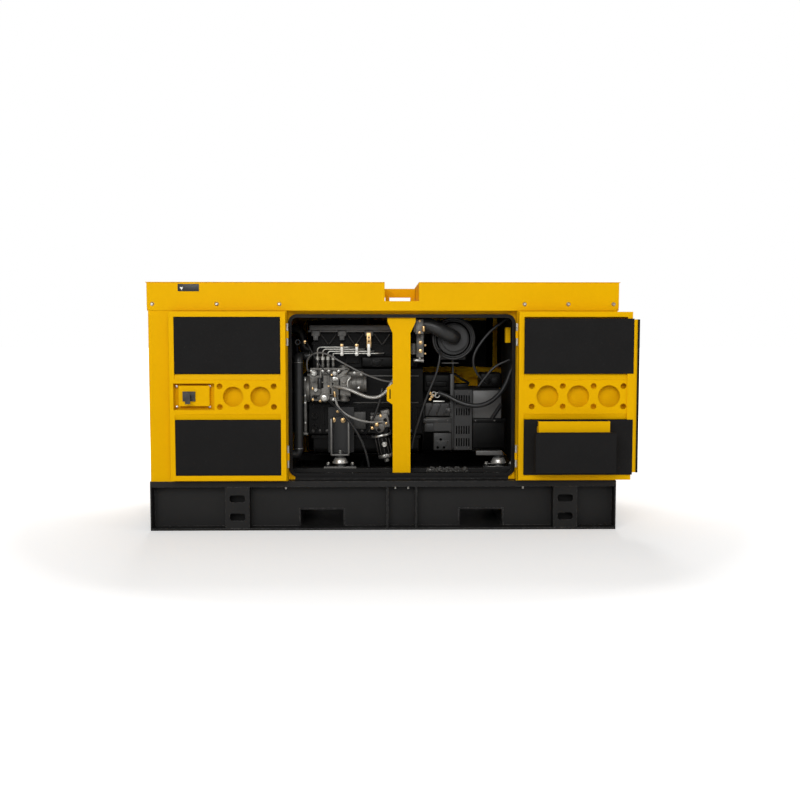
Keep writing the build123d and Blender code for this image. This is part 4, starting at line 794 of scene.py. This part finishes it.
weld("filterBrass", [screw("filterBolt", (x, -0.252, z), ahead, 0.012, 0.010)
                     for x, z in ((-0.0155, 0.505), (0.011, 0.471))]
     + [turned("banjo", (-0.034, -0.262, 0.468), (-0.034, -0.288, 0.468), 0.010, edge=0.002),
        turned("banjoHead", (-0.034, -0.288, 0.468), (-0.034, -0.296, 0.468), 0.009, sides=6),
        turned("union", (-0.056, -0.250, 0.449), (-0.056, -0.274, 0.449), 0.008, sides=6)], brass)

# right of the post: bracket plate with two brass bolts, solenoid, pipe fitting
sidePlate = [block("plate", (0.154, -0.272, 0.786), (0.189, -0.266, 0.900), 0.002),
             block("plate", (0.146, -0.358, 0.896), (0.184, -0.330, 0.966), 0.003),
             block("plate", (0.138, -0.352, 0.905), (0.152, -0.326, 0.955), 0.003),
             turned("solenoid", (0.142, -0.250, 0.800), (0.142, -0.250, 0.852), 0.016, edge=0.003)]
for i in range(5):
    sidePlate.append(turned("solenoidFin", (0.142, -0.250, 0.804 + 0.010 * i),
                            (0.142, -0.250, 0.808 + 0.010 * i), 0.018))
weld("valveBracket", sidePlate, rawCasting)
weld("valveBolts", [screw("valveBolt", (0.174, -0.272, z), ahead, 0.012) for z in (0.856, 0.816)]
     + [screw("valveBolt", (0.166, -0.358, 0.903), ahead, 0.008),
        screw("valveBolt", (0.166, -0.358, 0.958), ahead, 0.008),
        turned("glow", (0.184, -0.362, 0.908), (0.184, -0.362, 0.934), 0.0075, edge=0.002)]
     + [screw("railBolt", (0.197, -0.250, z), ahead, 0.006) for z in (0.843, 0.803)], brass)
fitting = [turned("fitting", (0.140, -0.262, 0.772), (0.176, -0.262, 0.772), 0.009, edge=0.002),
           turned("fittingNut", (0.176, -0.262, 0.772), (0.190, -0.262, 0.772), 0.011, sides=6),
           turned("fittingTop", (0.170, -0.262, 0.772), (0.170, -0.262, 0.796), 0.007)]
weld("returnFitting", fitting, zinc)
print("filter and fittings built")

# generator end: light upper panel, dark lower cover with a bolted flange, a sheet of painted shade behind the
# vent slots
# painted shade: a dead black without shine, laid where slots, holes, grooves and openings fall into shade
paintedShadeBlack = finish("paintedShadeBlack", "black_plastic", (0.0012, 0.0012, 0.0012), (0.002, 0.002, 0.002),
                  rough=(0.9, 1.0), shine=0.0)
panelGrey = finish("panelGrey", "generator_paint", (0.115, 0.112, 0.108), (0.085, 0.083, 0.08),
                   rough=(0.34, 0.46), tone=(6, 120), grain=500, depth=0.0002, edge=0.002,
                   edgeWearHighlightColour=(0.2, 0.19, 0.18))
ventLow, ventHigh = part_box("vent_cover")
endFace = ventHigh[1]
wear(block("ventSlotShade", (ventLow[0] + 0.008, ventLow[1] + 0.004, ventLow[2] + 0.010),
           (ventHigh[0] - 0.004, ventLow[1] + 0.009, ventHigh[2] - 0.010), 0.0005), paintedShadeBlack)
wear(block("upperPanel", (ventHigh[0] + 0.005, endFace - 0.010, 0.487), (0.572, endFace + 0.004, 0.623),
           0.003), panelGrey)
wear(turned("panelStrap", (0.524, endFace - 0.014, 0.484), (0.572, endFace - 0.014, 0.556), 0.010, sides=4,
            edge=0.001), blackPlastic)
lower = [block("lowerCover", (ventHigh[0] + 0.004, endFace - 0.022, 0.342), (0.588, endFace + 0.002, 0.470),
               0.004, 3), block("coverFlange", (ventHigh[0] + 0.004, endFace - 0.030, 0.468),
                                (0.592, endFace + 0.002, 0.486), 0.003)]
coverBlack = finish("coverBlack", "cover_paint", (0.0032, 0.0031, 0.0030), (0.0055, 0.0054, 0.0052),
                    rough=(0.3, 0.45), tone=(8, 120), grain=500, depth=0.0001, edge=0.002,
                    edgeWearHighlightColour=(0.05, 0.048, 0.046), shine=0.12)
weld("lowerCover", lower, coverBlack)
endScrews = [screw("coverBolt", (x, endFace - 0.030, 0.477), ahead, 0.006) for x in (0.446, 0.537)]
endScrews += [screw("ventBolt", (x, ventLow[1], z), ahead, 0.006)
              for x in (ventLow[0] + 0.016, ventHigh[0] - 0.014)
              for z in (ventLow[2] + 0.008, ventHigh[2] - 0.012)]
weld("endScrews", endScrews, darkSteel)

# bell housing: upright flange, ribbed casting, crossbar and the outlet box
bell = {"face": -0.206, "flange": (0.319, 0.341), "casting": (0.198, 0.322)}
bellPieces = [block("bellFlange", (bell["flange"][0], -0.204, 0.338), (bell["flange"][1], -0.170, 0.706),
                    0.004, 3), block("bellCasting", (bell["casting"][0], bell["face"], 0.498),
                                     (bell["casting"][1], -0.170, 0.567), 0.006, 3),
              block("crossbar", (0.189, bell["face"] - 0.010, 0.468), (0.328, -0.170, 0.490), 0.003),
              block("apron", (0.196, bell["face"] + 0.004, 0.424), (0.334, -0.170, 0.470), 0.003),
              block("outletBox", (0.239, bell["face"] - 0.012, 0.335), (0.329, -0.170, 0.421), 0.005, 3)]
for x in (0.214, 0.252, 0.290):
    bellPieces.append(turned("bellRib", (x, bell["face"] - 0.001, 0.503),
                             (x + 0.022, bell["face"] - 0.001, 0.562), 0.0035, sides=12))
bellPieces.append(turned("bellBoss", (0.314, bell["face"] - 0.010, 0.528), (0.314, bell["face"], 0.528),
                         0.013, edge=0.002))
bellPieces.append(turned("outletTriangle", (0.284, bell["face"] - 0.0145, 0.366),
                         (0.284, bell["face"] - 0.011, 0.366), 0.034, sides=3, edge=0.001))
bellPaint = finish("bellPaint", "generator_paint", (0.0155, 0.0152, 0.0148), (0.024, 0.0235, 0.0228),
                   rough=(0.3, 0.48), tone=(14, 180), grain=300, depth=0.0005, edge=0.0022,
                   edgeWearHighlightColour=(0.12, 0.116, 0.11), dust=0.01)
weld("bellHousing", bellPieces, bellPaint)
wear(block("castingLedge", (0.200, bell["face"] - 0.012, 0.489), (0.328, bell["face"] + 0.004, 0.4945),
           0.0012), greyCasting)
# painted shade: dead black discs on the box face standing in for the shaded outlet holes
holeShadeDiscs = [turned("outletHole", (x, bell["face"] - 0.0152, z), (x, bell["face"] - 0.012, z), 0.006, sides=20,
                edge=0.0005) for x, z in ((0.274, 0.389), (0.260, 0.350), (0.290, 0.350))]
weld("outletHoleShade", holeShadeDiscs, paintedShadeBlack)
crossScrews = [screw("crossBolt", (x, bell["face"] - 0.010, 0.479), ahead, 0.006)
               for x in (0.205, 0.256, 0.308)]
crossScrews.append(turned("boxStud", (0.316, bell["face"] - 0.012, 0.427),
                          (0.325, bell["face"] - 0.012, 0.427), 0.0045))
crossScrews.append(screw("bossBolt", (0.314, bell["face"] - 0.010, 0.528), ahead, 0.009))
weld("crossScrews", crossScrews, darkSteel)

# starter terminals: brass nuts and ring lugs where the thick lead begins
lugs = [screw("terminal", (x, -0.232, z), ahead, 0.009) for x, z in ((0.224, 0.612), (0.230, 0.596),
                                                                     (0.222, 0.584))]
lugs.append(turned("terminalPost", (0.236, -0.236, 0.604), (0.236, -0.206, 0.604), 0.005))
weld("terminalNuts", lugs, brass)
lugRings = [ring("lug", (0.240, -0.236, 0.610), ahead, 0.010, 0.0025),
            ring("lug", (0.256, -0.234, 0.604), ahead, 0.011, 0.003),
            block("terminalBar", (0.236, -0.226, 0.570), (0.292, -0.214, 0.577), 0.002)]
weld("terminalLugs", lugRings, zinc)

# dark shapes above the generator: bell top, sloping gusset, voltage regulator case
upperDark = [block("bellTop", (0.194, -0.150, 0.612), (0.342, 0.050, 0.704), 0.014, 4),
             block("bellStep", (0.206, -0.158, 0.640), (0.310, -0.140, 0.668), 0.005, 3),
             block("gusset", (0.343, -0.120, 0.618), (0.418, -0.020, 0.652), 0.004),
             turned("gussetEdge", (0.345, -0.118, 0.702), (0.420, -0.118, 0.654), 0.006, sides=12),
             turned("gussetEdge", (0.345, -0.030, 0.702), (0.420, -0.030, 0.654), 0.006, sides=12),
             block("regulator", (0.476, -0.090, 0.630), (0.584, 0.050, 0.706), 0.012, 4),
             turned("regulatorEye", (0.508, -0.098, 0.664), (0.508, -0.088, 0.664), 0.020, edge=0.003),
             turned("regulatorEye", (0.552, -0.098, 0.664), (0.552, -0.088, 0.664), 0.020, edge=0.003)]
weld("upperDark", upperDark, coverBlack)

# air cleaner: rolled rim, sunken inner ring, a wide rubber elbow over the duct
cleaner = {"x": 0.329, "z": 0.874}
cleanerFace = -0.272
# painted shade: a dead black ring in the groove inside the rim
wear(ring("cleanerGrooveShade", (cleaner["x"], cleanerFace, cleaner["z"]), (0, 1, 0), 0.078, 0.0032), paintedShadeBlack)
wear(ring("cleanerRim", (cleaner["x"], cleanerFace + 0.004, cleaner["z"]), (0, 1, 0), 0.095, 0.0055),
     blackPlastic)
wear(ring("cleanerRoll", (cleaner["x"], cleanerFace + 0.002, cleaner["z"]), (0, 1, 0), 0.086, 0.0035),
     blackPlastic)
hose("intakeElbow", [(150, -306, 944), (186, -312, 944), (224, -318, 936), (262, -318, 916), (296, -312, 898),
                     (322, -300, 886), (334, -272, 880)], 34, finish=hoseRubber)
wear(block("cleanerShelf", (0.276, -0.262, 0.756), (0.356, -0.225, 0.761), 0.0015), greyCasting)

# yellow hinge bracket inside the right edge, pale shelf over the right mount, foil on the deck
wear(block("innerBracket", (0.579, -0.262, 0.855), (0.603, -0.225, 0.928), 0.003), canopyPaint)
wear(block("mountShelf", (0.436, -0.318, 0.324), (0.560, -0.300, 0.345), 0.002), panelGrey)
# painted highlights: thin light grey lines on the mount plate
plateLineHighlights = [block("plateLine", (0.492, -0.318, z), (0.566, -0.314, z + 0.004), 0.001)
              for z in (0.268, 0.282)]
weld("plateLineHighlights", plateLineHighlights, edgeHighlightGrey)
foil = block("heatFoil", (0.200, -0.356, 0.252), (0.392, -0.345, 0.272), edge=0)
pickUp(foil)
bpy.ops.object.mode_set(mode="EDIT")
bpy.ops.mesh.select_all(action="SELECT")
bpy.ops.mesh.subdivide(number_cuts=24)
bpy.ops.object.mode_set(mode="OBJECT")
for vertex in foil.data.vertices:
    u, v = vertex.co.x, vertex.co.z
    vertex.co.y += 0.003 * sin(u * 190 + 3 * sin(v * 260)) * sin(v * 230 + 2 * sin(u * 310))
    vertex.co.z += (0.004 * sin(u * 150) + 0.002 * sin(u * 410 + 1.0)) * (v - 0.252) / 0.020
    vertex.co.x += (v - 0.262) * (0.296 - u) * 5
wear(foil, finish("foilGrey", "dark_steel", (0.17, 0.165, 0.155), (0.03, 0.029, 0.028), rough=(0.3, 0.6),
                  metal=0.6, tone=(60, 260), grain=300, depth=0.001))

# painted shade: dead black sheets beside the rear opening
rearShadeBlocks = [block("lining", (x0, 0.392, 0.720), (x1, 0.400, 0.985), 0.002)
           for x0, x1 in ((0.560, 0.594), (0.620, 0.640))]
weld("rearShadeSheets", rearShadeBlocks, paintedShadeBlack)
print("generator side built")

# hoses and leads
fuelLine = [(-362, -230, 718), (-372, -246, 756), (-352, -262, 796), (-308, -272, 812), (-262, -280, 800),
            (-214, -286, 772), (-160, -292, 742), (-104, -296, 714), (-46, -298, 690), (6, -298, 674),
            (50, -292, 670), (84, -270, 684), (102, -230, 702), (104, -190, 712)]
braidedLine = [(-240, -265, 650), (-206, -284, 646), (-160, -298, 634), (-112, -304, 612), (-64, -306, 596),
               (-20, -304, 600), (12, -298, 626), (32, -288, 662), (56, -278, 696), (90, -262, 722),
               (118, -240, 738)]
returnLine = [(-236, -262, 606), (-228, -276, 570), (-206, -290, 536), (-166, -298, 508), (-118, -300, 490),
              (-70, -296, 480), (-34, -284, 478), (-8, -266, 480)]
hose("fuelLine", fuelLine, 4, finish=sleeveGrey, replaces=("engine_hoses",))
hose("braidedLine", braidedLine, 8.2, finish=braidSteel)
hose("returnLine", returnLine, 5.2, finish=finish("clearHose", "hose_rubber", (0.36, 0.355, 0.33),
                                                  (0.26, 0.25, 0.235), rough=(0.22, 0.35), tone=(30, 300),
                                                  grain=900, depth=0.00005))
hose("lowerCoolantHose", [(-515, -262, 322), (-440, -262, 322), (-406, -262, 326), (-406, -262, 380),
                          (-406, -262, 560), (-406, -262, 740), (-406, -262, 786), (-404, -210, 790),
                          (-406, -150, 790), (-404, -118, 790), (-352, -118, 790)], 21, finish=hoseRubber)
hose("upperCoolantHose", [(-352, 60, 815), (-390, 60, 815), (-408, 60, 840), (-410, 60, 880), (-430, 60, 920),
                          (-470, 60, 925), (-515, 60, 925)], 21, finish=hoseRubber)
hoseBands = [ring("band", (-0.406, -0.262, z), upward, 0.0212, 0.0016) for z in (0.352, 0.762)]
hoseBands.append(ring("band", (-0.362, -0.118, 0.790), (1, 0, 0), 0.0212, 0.0016))
weld("hoseBands", hoseBands, zinc)
loomRoutes = {
    "pumpLead": ([(-262, -268, 580), (-246, -290, 568), (-220, -318, 550), (-164, -320, 489),
                  (-129, -316, 438), (-98, -313, 377), (-80, -311, 321), (-71, -306, 268)], 6),
    "dropLead": ([(-8, -282, 640), (-14, -288, 602), (-32, -290, 540), (-57, -288, 484), (-75, -270, 443),
                  (-93, -236, 415), (-100, -200, 404)], 5.5),
    "sensorLead": ([(-376, -244, 862), (-364, -262, 852), (-348, -272, 828), (-327, -282, 785),
                    (-287, -288, 730), (-258, -284, 704), (-240, -270, 692)], 2.6),
    "bayLead": ([(266, -270, 830), (265, -296, 806), (262, -300, 770), (249, -300, 714), (228, -300, 663),
                 (208, -300, 612), (185, -300, 554), (164, -300, 486), (142, -296, 417), (132, -290, 354)],
                5.5),
    "roofLead": ([(590, -258, 972), (556, -260, 948), (516, -260, 920), (470, -260, 868), (432, -260, 811),
                  (423, -260, 759), (441, -256, 713), (472, -244, 675), (500, -200, 660)], 6.5),
    "sideLead": ([(600, -250, 774), (560, -250, 758), (523, -250, 737), (486, -246, 692), (453, -240, 647)],
                 6),
    "outputLead": ([(262, -232, 616), (300, -246, 604), (346, -258, 578), (394, -266, 560),
                    (440, -268, 554), (486, -264, 562), (528, -256, 586), (562, -244, 620),
                    (588, -232, 660), (606, -220, 706), (624, -210, 748)], 11),
}
for index, (label, (route, radius)) in enumerate(loomRoutes.items()):
    hose(label, route, radius, finish=cableSkin, replaces=("wiring_harness",) if index == 0 else ())
print("hoses and leads run")

# backdrop: plain floor, pale studio round it

floorMaterial = bpy.data.materials.new("studioFloor")
floorMaterial.use_nodes = True
floorTree = floorMaterial.node_tree
floorShader = floorTree.nodes["Principled BSDF"]
floorNoise = node(floorTree, "TexNoise")
floorNoise.inputs["Scale"].default_value = 3
join(floorTree, mixColour(floorTree, floorNoise.outputs[0], (0.9, 0.9, 0.9, 1), (0.92, 0.92, 0.92, 1)),
     floorShader.inputs["Base Color"])
floorShader.inputs["Roughness"].default_value = 0.9
floorShader.inputs["Specular IOR Level"].default_value = 0.0
paper = node(floorTree, "Emission")
paper.inputs["Color"].default_value = (1, 1, 1, 1)
place = node(floorTree, "TexCoord")
away = node(floorTree, "VectorMath", operation="LENGTH")
join(floorTree, place.outputs["Object"], away.inputs[0])
join(floorTree, spread(floorTree, away.outputs["Value"], 1.7, 3.2, 0.35, 1.2), paper.inputs["Strength"])
seen = node(floorTree, "LightPath")
lifted = node(floorTree, "AddShader")
choice = node(floorTree, "MixShader")
join(floorTree, floorShader.outputs[0], lifted.inputs[0])
join(floorTree, paper.outputs[0], lifted.inputs[1])
join(floorTree, seen.outputs["Is Camera Ray"], choice.inputs[0])
join(floorTree, floorShader.outputs[0], choice.inputs[1])
join(floorTree, lifted.outputs[0], choice.inputs[2])
join(floorTree, choice.outputs[0], floorTree.nodes["Material Output"].inputs["Surface"])
clearSelection()
bpy.ops.mesh.primitive_plane_add(size=120, location=(0, 0, 0))
floor = bpy.context.object
floor.name = "studioFloor"
floor.data.materials.append(floorMaterial)

# pale room: white to look at, softer as a light
studio = bpy.data.worlds.new("studio")
studio.use_nodes = True
studioTree = studio.node_tree
room = studioTree.nodes["Background"]
room.inputs[0].default_value = (1, 1, 1, 1)
room.inputs[1].default_value = 0.22
wall = node(studioTree, "Background")
wall.inputs[1].default_value = 1.0
wall.inputs[0].default_value = (1, 1, 1, 1)
looking = node(studioTree, "LightPath")
roomChoice = node(studioTree, "MixShader")
join(studioTree, looking.outputs["Is Camera Ray"], roomChoice.inputs[0])
join(studioTree, room.outputs[0], roomChoice.inputs[1])
join(studioTree, wall.outputs[0], roomChoice.inputs[2])
join(studioTree, roomChoice.outputs[0], studioTree.nodes["World Output"].inputs["Surface"])
scene.world = studio

lamps = {
    "frontSoftbox": {"at": (-0.8, -5.2, 2.6), "aim": (0, 0, 0.6), "size": (4.0, 2.0), "power": 145},
    "overheadSoftbox": {"at": (0.0, 3.2, 4.2), "aim": (0, -0.6, 0), "size": (3.4, 1.8), "power": 170},
    "sideSoftbox": {"at": (3.8, -2.6, 1.8), "aim": (0.2, 0, 0.6), "size": (1.6, 2.4), "power": 22},
}
for label, lamp in lamps.items():
    light = bpy.data.lights.new(label, "AREA")
    light.shape = "RECTANGLE"
    light.size, light.size_y = lamp["size"]
    light.energy = lamp["power"]
    lightObject = bpy.data.objects.new(label, light)
    lightObject.location = lamp["at"]
    lightObject.rotation_euler = (Vector(lamp["aim"]) - Vector(lamp["at"])).to_track_quat("-Z",
                                                                                          "Y").to_euler()
    scene.collection.objects.link(lightObject)
print("studio set")
